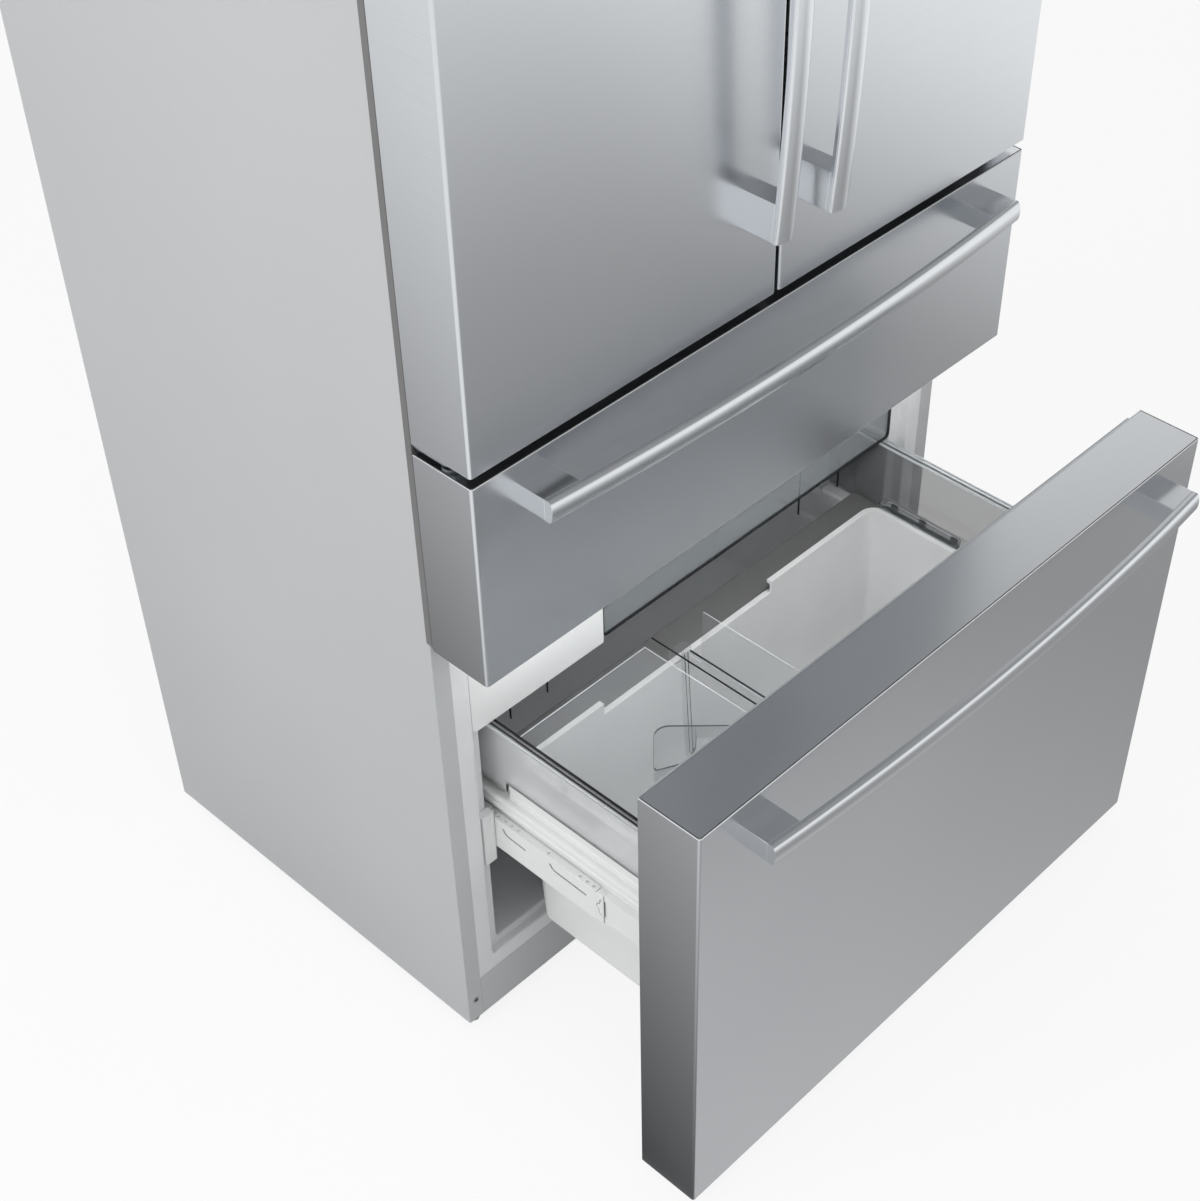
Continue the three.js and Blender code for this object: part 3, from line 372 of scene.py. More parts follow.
# Cut edge of clear plastic, painted dark as a reflection of what lies far behind along the sheet.
SAN_EDGE = Finish(
    "clear_san_edge", Slot.CLEAR, "#141617", "#1F2123", (0.35, 0.5),
    (8.0, 8.0, 8.0), 0.01, drift=40.0, streaks=0.3, ior=1.3,
)
# Float glass shelf: green grey tint, very smooth.
GLASS = Clear(
    "tempered_float_glass", Slot.CLEAR, "#BFCFC9", "#B5C7C0", (0.03, 0.06),
    (60.0, 60.0, 60.0), 0.004, drift=300.0, ior=1.52, face_on=0.18, edge_on=0.85,
)


# ---- the bench ----


class Axis(Enum):
    """An axis to stand a rod or a slab on."""

    X = 0
    Y = 1
    Z = 2


TURNS = {Axis.X: (0.0, math.pi / 2, 0.0), Axis.Y: (math.pi / 2, 0.0, 0.0), Axis.Z: (0.0, 0.0, 0.0)}


def put_down() -> None:
    """Leaves edit mode and deselects everything."""
    if bpy.context.mode != "OBJECT":
        bpy.ops.object.mode_set(mode="OBJECT")
    bpy.ops.object.select_all(action="DESELECT")


def size_of(node: str) -> tuple[Vector, Vector]:
    """Lowest and highest corner of a CAD node, in millimetres."""
    low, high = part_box(node)
    return low / MM, high / MM


def arc(u: float, v: float, radius: float, start: float, end: float, steps: int) -> list[Pair]:
    """Points on an arc.

    Args:
        u: first coordinate of the centre.
        v: second coordinate of the centre.
        radius: the arc's radius.
        start: first angle in degrees.
        end: last angle in degrees.
        steps: number of straight pieces.

    Returns:
        The points as pairs.
    """
    angles = [math.radians(start + (end - start) * i / steps) for i in range(steps + 1)]
    return [(u + radius * math.cos(a), v + radius * math.sin(a)) for a in angles]


class Work:
    """One piece on the bench, shaped by Blender's own operators. All lengths are millimetres."""

    def __init__(self, obj: bpy.types.Object) -> None:
        """Takes a mesh object onto the bench."""
        self.obj = obj
        self.trims: list[tuple[Finish, FaceTest]] = []

    # starting shapes

    @classmethod
    def _placed(cls) -> "Work":
        """Takes the new primitive, with its place in its mesh."""
        bpy.ops.object.transform_apply(location=True, rotation=True, scale=True)
        return cls(bpy.context.active_object)

    @classmethod
    def block(cls, low: Sequence[float], high: Sequence[float]) -> "Work":
        """A box between two corners, given in any order.

        Args:
            low: one corner.
            high: the opposite corner.

        Returns:
            The piece.
        """
        put_down()
        a = Vector([min(p) for p in zip(low, high)])
        b = Vector([max(p) for p in zip(low, high)])
        bpy.ops.mesh.primitive_cube_add(size=MM, location=(a + b) / 2 * MM, scale=b - a)
        return cls._placed()

    @classmethod
    def rod(
        cls, axis: Axis, centre: Sequence[float], radius: float, length: float, sides: int = 32
    ) -> "Work":
        """A round bar.

        Args:
            axis: the axis it lies along.
            centre: its middle.
            radius: its radius.
            length: its length.
            sides: number of flats round it.

        Returns:
            The piece.
        """
        put_down()
        bpy.ops.mesh.primitive_cylinder_add(
            vertices=sides,
            radius=radius * MM,
            depth=length * MM,
            location=Vector(centre) * MM,
            rotation=TURNS[axis],
        )
        return cls._placed()

    @classmethod
    def section(cls, axis: Axis, outline: Outline, at: float, filled: bool = True) -> "Work":
        """A flat outline across an axis.

        Args:
            axis: the axis it stands across.
            outline: pairs of the two other coordinates, in the order X, Y, Z.
            at: its place on the axis.
            filled: whether it has a face.

        Returns:
            The piece.
        """
        put_down()
        bpy.ops.mesh.primitive_circle_add(
            vertices=len(outline), radius=1.0, fill_type="NGON" if filled else "NOTHING"
        )
        work = cls._placed()
        for vertex, pair in zip(work.obj.data.vertices, outline):
            place = list(pair)
            place.insert(axis.value, at)
            vertex.co = Vector(place) * MM
        return work

    @classmethod
    def slab(cls, axis: Axis, outline: Outline, start: float, end: float) -> "Work":
        """A flat outline drawn along an axis.

        Args:
            axis: the axis it is drawn along.
            outline: pairs of the two other coordinates, in the order X, Y, Z.
            start: where it starts on the axis.
            end: where it ends.

        Returns:
            The piece.
        """
        work = cls.section(axis, outline, start)
        move = [0.0, 0.0, 0.0]
        move[axis.value] = end - start
        return work.everything().extrude(move).outwards()

    @classmethod
    def copy_of(cls, node: str) -> "Work":
        """A merged copy of a CAD node, its flat faces whole.

        Args:
            node: the CAD node.

        Returns:
            The piece.
        """
        put_down()
        obj = bpy.data.objects.new(node, frame["nodes"][node].data.copy())
        bpy.context.scene.collection.objects.link(obj)
        work = cls(obj)
        work.everything()
        bpy.ops.mesh.customdata_custom_splitnormals_clear()
        bpy.ops.mesh.remove_doubles(threshold=ALIKE * MM)
        bpy.ops.mesh.dissolve_limited(angle_limit=math.radians(FLAT_ANGLE))
        return work

    def twin(self) -> "Work":
        """Copies the piece.

        Returns:
            The copy, with a mesh of its own.
        """
        put_down()
        obj = self.obj.copy()
        obj.data = self.obj.data.copy()
        bpy.context.scene.collection.objects.link(obj)
        other = Work(obj)
        other.trims = list(self.trims)
        return other

    # selecting

    def _open(self, mode: str) -> bmesh.types.BMesh:
        """Opens the piece for shaping, with nothing selected.

        Args:
            mode: VERT, EDGE or FACE.

        Returns:
            Its mesh in edit mode.
        """
        if self.obj.mode != "EDIT":
            put_down()
            self.obj.select_set(True)
            bpy.context.view_layer.objects.active = self.obj
            bpy.ops.object.mode_set(mode="EDIT")
        bpy.ops.mesh.select_mode(type=mode)
        bpy.ops.mesh.select_all(action="DESELECT")
        return bmesh.from_edit_mesh(self.obj.data)

    def everything(self) -> "Work":
        """Selects the whole piece.

        Returns:
            The piece.
        """
        self._open("VERT")
        bpy.ops.mesh.select_all(action="SELECT")
        return self

    def faces(self, test: FaceTest) -> "Work":
        """Selects faces by their middle and normal.

        Args:
            test: says whether a face with this middle and normal is meant.

        Returns:
            The piece.
        """
        bm = self._open("FACE")
        for face in bm.faces:
            if test(face.calc_center_median() / MM, face.normal):
                face.select_set(True)
        bmesh.update_edit_mesh(self.obj.data)
        return self

    def edges(self, test: EdgeTest, sharp: float = 20.0) -> "Work":
        """Selects edges by their two ends.

        Args:
            test: says whether an edge between these ends is meant.
            sharp: least angle between its faces, in degrees.

        Returns:
            The piece.
        """
        bm = self._open("EDGE")
        least = math.radians(sharp)
        for edge in bm.edges:
            a, b = (v.co / MM for v in edge.verts)
            if edge.calc_face_angle(math.pi) >= least and test(a, b):
                edge.select_set(True)
        bmesh.update_edit_mesh(self.obj.data)
        return self

    def points(self, test: Callable[[Vector], bool]) -> "Work":
        """Selects corners by their place.

        Args:
            test: says whether a corner at this place is meant.

        Returns:
            The piece.
        """
        bm = self._open("VERT")
        for vertex in bm.verts:
            if test(vertex.co / MM):
                vertex.select_set(True)
        bm.select_flush(True)
        bmesh.update_edit_mesh(self.obj.data)
        return self

    # shaping what is selected

    def inset(self, width: float, depth: float = 0.0, single: bool = False) -> "Work":
        """Insets the selected faces, together or each by itself, and moves them out by a depth."""
        bpy.ops.mesh.inset(thickness=width * MM, depth=depth * MM, use_individual=single)
        return self

    def extrude(self, move: Sequence[float]) -> "Work":
        """Draws the selected faces out by a move."""
        bpy.ops.mesh.extrude_region_move(TRANSFORM_OT_translate={"value": Vector(move) * MM})
        return self

    def shift(self, move: Sequence[float]) -> "Work":
        """Moves what is selected."""
        bpy.ops.transform.translate(value=Vector(move) * MM)
        return self

    def scale(self, factors: Sequence[float], centre: Sequence[float]) -> "Work":
        """Scales what is selected about a centre."""
        bpy.ops.transform.resize(value=Vector(factors), center_override=Vector(centre) * MM)
        return self

    def bevel(self, width: float, segments: int = 3) -> "Work":
        """Rounds the selected edges."""
        bpy.ops.mesh.bevel(offset=width * MM, segments=segments, affect="EDGES")
        return self

    def outwards(self, near: float = DOUBLE) -> "Work":
        """Merges points and turns every face outwards.

        Args:
            near: how near the points are; points that all but coincide hold a bevel back.

        Returns:
            The piece.
        """
        self.everything()
        bpy.ops.mesh.remove_doubles(threshold=near * MM)
        bpy.ops.mesh.normals_make_consistent(inside=False)
        return self

    def reflected(self) -> "Work":
        """Mirrors a copy in the plane x = 0.

        Returns:
            The copy, with its trims mirrored too.
        """
        other = self.twin()
        other.everything().scale((-1, 1, 1), (0, 0, 0))
        bpy.ops.mesh.flip_normals()
        other.trims = [
            (finish, lambda p, n, t=test: t(Vector((-p.x, p.y, p.z)), Vector((-n.x, n.y, n.z))))
            for finish, test in self.trims
        ]
        return other

    # putting pieces together

    def _apply(self, kind: str, **settings: Any) -> "Work":
        """Adds a modifier and applies it.

        Args:
            kind: the modifier's type.
            settings: its settings.

        Returns:
            The piece.
        """
        put_down()
        self.obj.select_set(True)
        bpy.context.view_layer.objects.active = self.obj
        modifier = self.obj.modifiers.new(kind.lower(), kind)
        for key, value in settings.items():
            setattr(modifier, key, value)
        bpy.ops.object.modifier_apply(modifier=modifier.name)
        return self

    def _combine(self, operation: str, others: Sequence["Work"]) -> "Work":
        """Cuts with, or adds, closed pieces, which are used up.

        Args:
            operation: DIFFERENCE or UNION.
            others: the other pieces.

        Returns:
            The piece.
        """
        for other in others:
            self._apply("BOOLEAN", operation=operation, object=other.obj, solver="EXACT")
            bpy.data.objects.remove(other.obj)
        return self

    def cut(self, *others: "Work") -> "Work":
        """Takes other pieces away from this one."""
        return self._combine("DIFFERENCE", others)

    def weld(self, *others: "Work") -> "Work":
        """Makes one solid of this piece and others."""
        return self._combine("UNION", others)

    def join(self, *others: "Work") -> "Work":
        """Puts other closed pieces in this object as they are, with their trims.

        Args:
            others: the other pieces, which are used up.

        Returns:
            The piece.
        """
        put_down()
        for other in others:
            other.obj.select_set(True)
            self.trims += other.trims
        self.obj.select_set(True)
        bpy.context.view_layer.objects.active = self.obj
        bpy.ops.object.join()
        return self

    def soften(self, width: float, segments: int = 2, angle: float = 40.0) -> "Work":
        """Breaks every sharp edge.

        Args:
            width: how wide.
            segments: in how many steps.
            angle: least angle between the faces, in degrees.

        Returns:
            The piece.
        """
        return self._apply(
            "BEVEL",
            width=width * MM,
            segments=segments,
            limit_method="ANGLE",
            angle_limit=math.radians(angle),
            use_clamp_overlap=True,
        )

    def trim(self, finish: Finish, test: FaceTest) -> "Work":
        """Gives the faces that pass a test a second finish when the piece is done."""
        self.trims.append((finish, test))
        return self

    def done(self, name: str, finish: Finish, *nodes: str, body: str | None = None) -> bpy.types.Object:
        """Dresses the piece and puts it on the refrigerator.

        Args:
            name: the piece's name.
            finish: its main finish.
            nodes: the CAD nodes that it stands for.
            body: the body it rides on, which is otherwise its first node's.

        Returns:
            The finished object.
        """
        put_down()
        mesh = self.obj.data
        self.obj.name = mesh.name = name
        mesh.materials.clear()
        for index, used in enumerate([finish] + [trim for trim, _ in self.trims]):
            mesh.materials.append(used.material())
            for face in mesh.polygons:
                if not index:
                    face.material_index = 0
                elif self.trims[index - 1][1](face.center / MM, face.normal):
                    face.material_index = index
        self.obj.select_set(True)
        bpy.context.view_layer.objects.active = self.obj
        bpy.ops.object.shade_smooth_by_angle(angle=math.radians(SMOOTH_ANGLE))
        self._apply("WEIGHTED_NORMAL", mode="FACE_AREA", keep_sharp=True)
        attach(self.obj, body or frame["nodes"][nodes[0]]["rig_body"])
        if nodes:
            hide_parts(*nodes)
        log.info("%s: %d faces, %s", name, len(mesh.polygons), finish.name)
        return self.obj


def keep(node: str, finish: Finish) -> None:
    """Leaves a CAD node as it is and gives it a finish.

    Args:
        node: the CAD node.
        finish: its finish.
    """
    mesh = frame["nodes"][node].data
    mesh.materials.clear()
    mesh.materials.append(finish.material())
    log.info("%s: as in the CAD, %s", node, finish.name)


def copied(node: str, finish: Finish, width: float, segments: int = 2) -> None:
    """Stands a copy of a CAD node with softened edges in its place."""
    Work.copy_of(node).soften(width, segments).done(f"{node}_edged", finish, node)


def upright(a: Vector, b: Vector) -> bool:
    """Whether the edge between two points is upright."""
    return abs(a.x - b.x) < TOUCH and abs(a.y - b.y) < TOUCH


@dataclass
class Tub:
    """An open moulded box, its mouth up, with rounded corners and drawn-in walls."""

    low: Point
    high: Point
    wall: float = 3.0
    corner: float = 12.0  # radius of the upright corners
    foot: float = 8.0  # radius round the floor
    draft: float = 3.0  # how far each wall is drawn in at the floor
    over: float = 20.0  # how far the hollow goes on above the mouth

    def solid(self, shrink: float) -> Work:
        """The box without its hollow, or the hollow.

        Args:
            shrink: how much smaller it is at each side and at the floor; nothing for the box.

        Returns:
            The piece.
        """
        low = Vector(self.low) + Vector((shrink, shrink, shrink))
        high = Vector(self.high) - Vector((shrink, shrink, -self.over if shrink else 0.0))
        work = Work.block(low, high)
        middle = (low + high) / 2
        span = high - low
        factors = ((span.x - 2 * self.draft) / span.x, (span.y - 2 * self.draft) / span.y, 1.0)
        work.faces(lambda p, n: n.z < -FACING).scale(factors, (middle.x, middle.y, low.z))
        work.edges(lambda a, b: abs(a.z - b.z) > span.z / 2).bevel(self.corner - shrink, 5)
        work.edges(lambda a, b: max(a.z, b.z) - low.z < 1).bevel(self.foot - shrink, 4)
        return work

    def build(self) -> Work:
        """The open box."""
        return self.solid(0.0).cut(self.solid(self.wall))


# ---- the case ----


@dataclass
class Case:
    """The painted wrap, the back, the lower rail, the feet and the rollers."""

    fold: float = 0.8  # radius of the wrap's outer folds, less than its sheet
    flange_screw: Pair = (439.0, 53.0)  # its place in x and z
    flange_head: Pair = (4.2, 1.6)  # radius and thickness
    strip: Pair = (446.0, 452.7)  # painted shade: a dark strip on each front corner, from and to in x
    strip_low: float = 690.0
    strip_proud: float = 4.1
    beads: tuple[float, ...] = (-330.0, -165.0, 0.0, 165.0, 330.0)  # their middles on the back
    bead_half: float = 26.0
    bead_deep: float = 1.2
    bead_round: float = 1.1
    bead_end: float = 90.0  # from a bead's end to the panel's
    screw_columns: tuple[float, ...] = (-436.0, -220.0, 0.0, 220.0, 436.0)
    screw_rows: tuple[float, ...] = (620.0, 1000.0, 1390.0)  # down both sides of the back
    screw_end: float = 14.0  # from the other screws to the panel's ends
    back_head: Pair = (4.5, 1.7)
    pad: Pair = (11.0, 11.0)  # radius and height of a foot's faceted pad
    collar: float = 2.5  # the step on it
    stem: float = 3.2
    thread: Pair = (3.9, 1.2)  # radius and thickness of one turn
    pitch: float = 2.5
    tread: Pair = (4.0, 1.0)  # widths of a roller's rim and of the slope inside it
    dish: float = 2.0
    bore: float = 4.3

    def wrap(self) -> None:
        """The folded steel wrap, its outer folds rounded."""
        low, high = size_of("case_wrapper")

        def planes(p: Vector) -> tuple[bool, bool, bool]:
            """Whether a point lies on a side, on the front and on the top."""
            return (CASE_HALF - abs(p.x) < TOUCH, p.y - low.y < TOUCH, high.z - p.z < TOUCH)

        def outer(a: Vector, b: Vector) -> bool:
            """Whether both ends of an edge lie on the same two of these planes."""
            return sum(u and v for u, v in zip(planes(a), planes(b))) >= 2

        work = Work.copy_of("case_wrapper")
        work.edges(outer).bevel(self.fold, 4)
        work.soften(0.2, 1).done("case_wrapper_folded", POWDER, "case_wrapper")

    def corners(self) -> None:
        """A screw low on each front flange, with painted shade in its recess, and a dark strip of painted
        shade beside the fronts.
        """
        low, high = size_of("case_wrapper")
        x, z = self.flange_screw
        radius, thick = self.flange_head
        for side, s in SIDES:
            head = Work.rod(Axis.Y, (s * x, low.y - 0.3, z), radius, thick, 20)
            head.faces(lambda p, n: n.y < -FACING).inset(1.6).inset(0.5, -0.7)
            # the recess of the head is painted dark, as shade
            head.trim(GAP_SHADE, lambda p, n: n.y < -0.5 and p.y > low.y - 0.9)
            head.soften(0.3).done(f"flange_screw_{side}", GALVANISED, body="cabinet")
            # the strip is painted shade for the gap between the case and the doors
            strip = Work.block(
                (s * self.strip[1], low.y - self.strip_proud, self.strip_low),
                (s * self.strip[0], low.y + 5.0, high.z - 4),
            )
            strip.soften(0.2, 1).done(f"corner_shade_strip_{side}", DUCT_GREY_AND_SHADE, body="cabinet")

    def back(self) -> None:
        """The back panel with raised beads and screw heads."""
        low, high = size_of("back_panel")
        panel = Work.block(low, (high.x, high.y - self.bead_deep, high.z))
        for x in self.beads:
            bead = Work.block(
                (x - self.bead_half, high.y - 2, low.z + self.bead_end),
                (x + self.bead_half, high.y, high.z - self.bead_end),
            )
            bead.edges(lambda a, b: min(a.y, b.y) > high.y - TOUCH).bevel(self.bead_round, 3)
            panel.join(bead)
        panel.done("back_panel_beaded", POWDER, "back_panel")

        ends = (low.z + self.screw_end, high.z - self.screw_end)
        places = [(x, z) for x in self.screw_columns for z in ends]
        sides = (self.screw_columns[0], self.screw_columns[-1])
        places += [(x, z) for z in self.screw_rows for x in sides]
        radius, thick = self.back_head
        heads = [Work.rod(Axis.Y, (x, high.y - 0.9, z), radius, thick, 16) for x, z in places]
        screws = heads[0].join(*heads[1:])
        screws.faces(lambda p, n: n.y > FACING)
        screws.inset(1.8, single=True).inset(0.6, -0.5, single=True)
        screws.soften(0.3).done("back_screws", GALVANISED, body="cabinet")

    def base(self) -> None:
        """The lower rail, the base pan and the foam behind the liners."""
        copied("kick_rail", POWDER, 0.5)
        copied("base_pan", GALVANISED, 0.5)
        keep("foam_body", FOAM_CREAM)

    def foot(self, node: str) -> None:
        """A levelling foot: a faceted pad under a threaded stem.

        Args:
            node: its CAD node.
        """
        low, high = size_of(node)
        x, y = (low.x + high.x) / 2, (low.y + high.y) / 2
        radius, height = self.pad
        work = Work.rod(Axis.Z, (x, y, height / 2), radius, height, 8)
        work.faces(lambda p, n: n.z > FACING).inset(self.collar).extrude((0, 0, self.collar))
        work.soften(0.9, 2, 30)
        start = height + 1
        stem = Work.rod(Axis.Z, (x, y, (start + high.z) / 2), self.stem, high.z - start, 20)
        work.join(stem)
        radius, thick = self.thread
        for i in range(int((high.z - start - 2 * self.pitch) / self.pitch)):
            middle = (x, y, start + 3 + i * self.pitch)
            work.join(Work.rod(Axis.Z, middle, radius, thick, 20).soften(0.45, 1))
        work.done(f"{node}_threaded", ABS_GREY, node)

    def roller(self, node: str) -> None:
        """A rear roller with a rounded tread and dished sides.

        Args:
            node: its CAD node.
        """
        low, high = size_of(node)
        middle = (low + high) / 2
        rim, slope = self.tread
        wheel = Work.rod(Axis.X, middle, (high.z - low.z) / 2, high.x - low.x, 48)
        wheel.faces(lambda p, n: abs(n.x) > FACING).inset(rim, single=True)
        wheel.inset(slope, -self.dish, single=True)
        wheel.cut(Work.rod(Axis.X, middle, self.bore, high.x - low.x + 10, 32))
        wheel.soften(0.8, 2).done(f"{node}_dished", RUBBER_BLACK, node)

    def build(self) -> None:
        """Builds the case."""
        self.wrap()
        self.corners()
        self.back()
        self.base()
        for side, _ in SIDES:
            self.foot(f"foot_{side}")
        for side, _ in SIDES:
            self.roller(f"roller_{side}")


@dataclass
class Ledge:
    """A support moulded along both walls of a room."""

    top: float
    reach: float  # how far it stands out from the wall
    height: float
    front: float
    back: float


@dataclass
class Room:
    """A thermoformed liner: a rounded room behind a flat border."""

    node: str
    half: float
    low: float
    high: float
    back: float
    ledges: tuple[Ledge, ...]
    mouth_half: float = 0.0  # half width of a wider mouth, if it has one
    mouth_low: float = 0.0
    mouth_deep: float = 14.0
    step_front: float = 0.0  # the step over the machine bay, if it has one
    step_top: float = 0.0
    wall: float = 2.5
    radius: float = 8.0  # of the room's corners
    lip: float = 3.2  # radius round its mouth
    lap: float = 1.2  # how far the walls start inside the border, so that no faces coincide
    border_half: float = 428.3

    def shape(self, grow: float, front: float) -> Work:
        """The room as a solid: the hollow with its rounded corners, or the square outside.

        Args:
            grow: how much larger it is at every wall; nothing for the hollow.
            front: where it starts in y.

        Returns:
            The piece.
        """
        far = CASE_HALF + self.back  # beyond every wall
        low = (-self.half - grow, front, self.low - grow)
        work = Work.block(low, (self.half + grow, self.back + grow, self.high + grow))
        if self.step_top:
            start, top = self.step_front + grow, self.step_top - grow
            work.cut(Work.block((-far, start, 0), (far, far, top)))
        if not grow:
            work.edges(lambda a, b: max(a.y, b.y) > front + 1).bevel(self.radius, 4)
        if self.mouth_half:
            deep = CASE_FRONT + self.mouth_deep + grow
            half = self.mouth_half + grow
            mouth = Work.block((-half, front, self.mouth_low - grow), (half, deep, self.high + grow))
            if not grow:
                mouth.edges(lambda a, b: abs(a.y - b.y) > 5).bevel(self.radius, 4)
            work.weld(mouth)
            if not grow:
                work.edges(lambda a, b: min(a.y, b.y) > deep - 1 and max(a.y, b.y) < deep + 0.2)
                work.bevel(self.lip, 3)
        return work

    def build(self) -> None:
        """Builds the liner with its border, its rounded lip and its ledges."""
        low, high = size_of(self.node)
        front = low.y
        border = self.border_half
        work = self.shape(self.wall, front + self.lap)
        work.weld(Work.block((-border, front, low.z), (border, front + self.wall, high.z)))
        work.cut(self.shape(0.0, front - 20)).outwards(ALIKE)

        def lip(a: Vector, b: Vector) -> bool:
            """Whether an edge runs round the mouth, and not round the border."""
            level = max(abs(a.y - front), abs(b.y - front)) < TOUCH
            outer = any(
                abs(abs(a[i]) - limit) < TOUCH and abs(abs(b[i]) - limit) < TOUCH
                for i, limit in ((0, border), (2, low.z), (2, high.z))
            )
            return level and not outer

        work.edges(lip).bevel(self.lip, 3)
        for ledge in self.ledges:
            for s in ENDS:
                piece = Work.block(
                    (s * (self.half + 1), ledge.front, ledge.top - ledge.height),
                    (s * (self.half - ledge.reach), ledge.back, ledge.top),
                )
                work.join(piece.soften(min(1.2, ledge.reach / 3), 2))
        work.soften(0.3, 1).done(f"{self.node}_formed", LINER_WHITE, self.node)


@dataclass
class Liners:
    """The liners of the fresh food room, the middle drawer and the freezer."""

    half: float = 402.5
    back: float = 471.1
    shelf_tops: tuple[float, ...] = (1530.0, 1350.0, 1190.0)

    def build(self) -> None:
        """Builds the three liners."""
        shelves = tuple(
            Ledge(top=top, reach=8.5, height=6.0, front=26.1, back=self.back)
            for top in self.shelf_tops
        )
        slide = Ledge(top=878.0, reach=12.0, height=14.0, front=-59.9, back=self.back)
        hanger = Ledge(top=594.0, reach=3.0, height=4.0, front=-58.9, back=391.1)
        Room("fresh_liner", self.half, 990.0, 1720.0, self.back, shelves).build()
        Room("middle_liner", self.half, 705.0, 940.0, self.back, (slide,)).build()
        Room(
            "freezer_liner",
            half=382.5,
            low=120.0,
            high=655.0,
            back=466.1,
            ledges=(hanger,),
            mouth_half=self.half,
            mouth_low=113.0,
            step_front=251.1,
            step_top=285.0,
        ).build()


# ---- the machine bay ----


@dataclass
class MachineBay:
    """The slotted cover, compressor, condenser and fan at the lower back."""

    columns: int = 6
    rows: int = 6
    first: Pair = (-370.0, 84.0)  # x and z of the first slot's low corner
    step: Pair = (126.0, 22.0)
    slot_long: float = 96.0
    louvre: float = 9.0
    slant: tuple[float, float, float] = (0.0, 4.6, 2.0)  # how a louvre's upper edge leans in

    def cover(self) -> None:
        """The cover with a slanting louvre in each slot."""
        low, _ = size_of("machine_cover")
        work = Work.copy_of("machine_cover").soften(0.3, 1)
        for column in range(self.columns):
            x = self.first[0] + column * self.step[0]
            for row in range(self.rows):
                z = self.first[1] + row * self.step[1]
                blade = Work.block(
                    (x + 1, low.y - 5, z), (x + self.slot_long - 1, low.y - 4.2, z + self.louvre)
                )
                blade.points(lambda p, z=z: p.z > z + self.louvre / 2).shift(self.slant)
                work.join(blade)
        work.done("machine_cover_louvred", GALVANISED, "machine_cover")

    def build(self) -> None:
        """Builds the machine bay."""
        self.cover()
        copied("compressor", ENAMEL_BLACK, 1.0)
        copied("condenser_unit", ENAMEL_BLACK, 0.3, 1)
        copied("condenser_fan", ENAMEL_BLACK, 0.3, 1)


# ---- fronts ----


@dataclass
class Front:
    """A stainless pan folded round a door or a drawer front, with a seam near its two ends.

    The fold is rounder than the sheet is thick, and the seam shallower, so that no faces meet.
    """

    node: str
    bores: tuple[float, ...] = ()  # where hinge pins enter, in x
    fold: float = 3.6  # radius of the upright folds
    sheet: float = 1.7
    edge: float = 0.5  # radius of the edges round its two ends
    hem: float = 0.8  # from that edge to the seam
    seam: float = 1.2
    seam_deep: float = 1.1
    rear: float = 6.0  # how near the open back the seam stops being coloured
    bore: float = 5.4

    def build(self) -> None:
        """Builds the pan."""
        low, high = size_of(self.node)

        def rim(a: Vector, b: Vector) -> bool:
            """Whether an edge runs round an end of the pan, but not along its open back."""
            return abs(a.z - b.z) < TOUCH and min(a.y, b.y) < high.y - TOUCH

        def inside(p: Vector) -> float:
            """How far a point is from the pan's sides and front, where the seam is coloured."""
            near = min(p.x - low.x, high.x - p.x, p.y - low.y)
            return near if p.y < high.y - self.rear else math.inf

        def below(p: Vector) -> float:
            """How far a point is from the nearer end of the pan."""
            return min(p.z - low.z, high.z - p.z)

        pan = Work.block(low, high)
        pan.edges(lambda a, b: upright(a, b) and a.y < low.y + TOUCH).bevel(self.fold, 6)
        pan.edges(rim).bevel(self.edge, 2)
        for s in ENDS:
            pan.faces(lambda p, n, s=s: n.z * s > SQUARE).inset(self.hem)
            pan.inset(self.seam / 2, -self.seam_deep).inset(self.seam / 2, self.seam_deep)

        groove = self.edge + self.hem
        ring = groove + self.seam + self.hem + 0.2
        pan.trim(BRUSHED_END, lambda p, n: abs(n.z) > 0.95)
        # painted highlight on the ring along each end's edge, and painted shade in the seam
        pan.trim(EDGE_HIGHLIGHT, lambda p, n: abs(n.z) > 0.2 and 0 <= inside(p) < ring)
        pan.trim(
            GAP_SHADE,
            lambda p, n: groove < inside(p) < groove + self.seam
            and 0.1 < below(p) < self.seam_deep + 0.1,
        )
        core = Work.block(
            low + Vector((self.sheet, self.sheet, self.sheet)),
            (high.x - self.sheet, high.y + 10, high.z - self.sheet),
        )
        core.edges(lambda a, b: upright(a, b) and a.y < low.y + 3)
        pan.cut(core.bevel(self.fold - self.sheet, 4))
        middle, through = (low.z + high.z) / 2, 2 * high.z
        for x in self.bores:
            pan.cut(Work.rod(Axis.Z, (x, PIN_Y, middle), self.bore, through, 32))
        pan.soften(0.2, 1, 75).done(f"{self.node}_folded", BRUSHED, self.node)


@dataclass
class Gasket:
    """A soft seal ring with a channel along its faces."""

    node: str
    width: float = 12.0
    margin: float = 2.6  # from the ring's edges to the channel
    slope: float = 0.8
    channel: float = 1.4  # the channel's depth

    def build(self) -> None:
        """Builds the ring."""
        low, high = size_of(self.node)
        ring = Work.block(low, high)
        ring.faces(lambda p, n: abs(n.y) > FACING).inset(self.width)
        bpy.ops.mesh.bridge_edge_loops()
        ring.outwards()
        ring.faces(lambda p, n: abs(n.y) > FACING)
        ring.inset(self.margin).inset(self.slope, -self.channel)
        ring.soften(0.6, 2).done(f"{self.node}_channelled", SEAL_GREY, self.node)


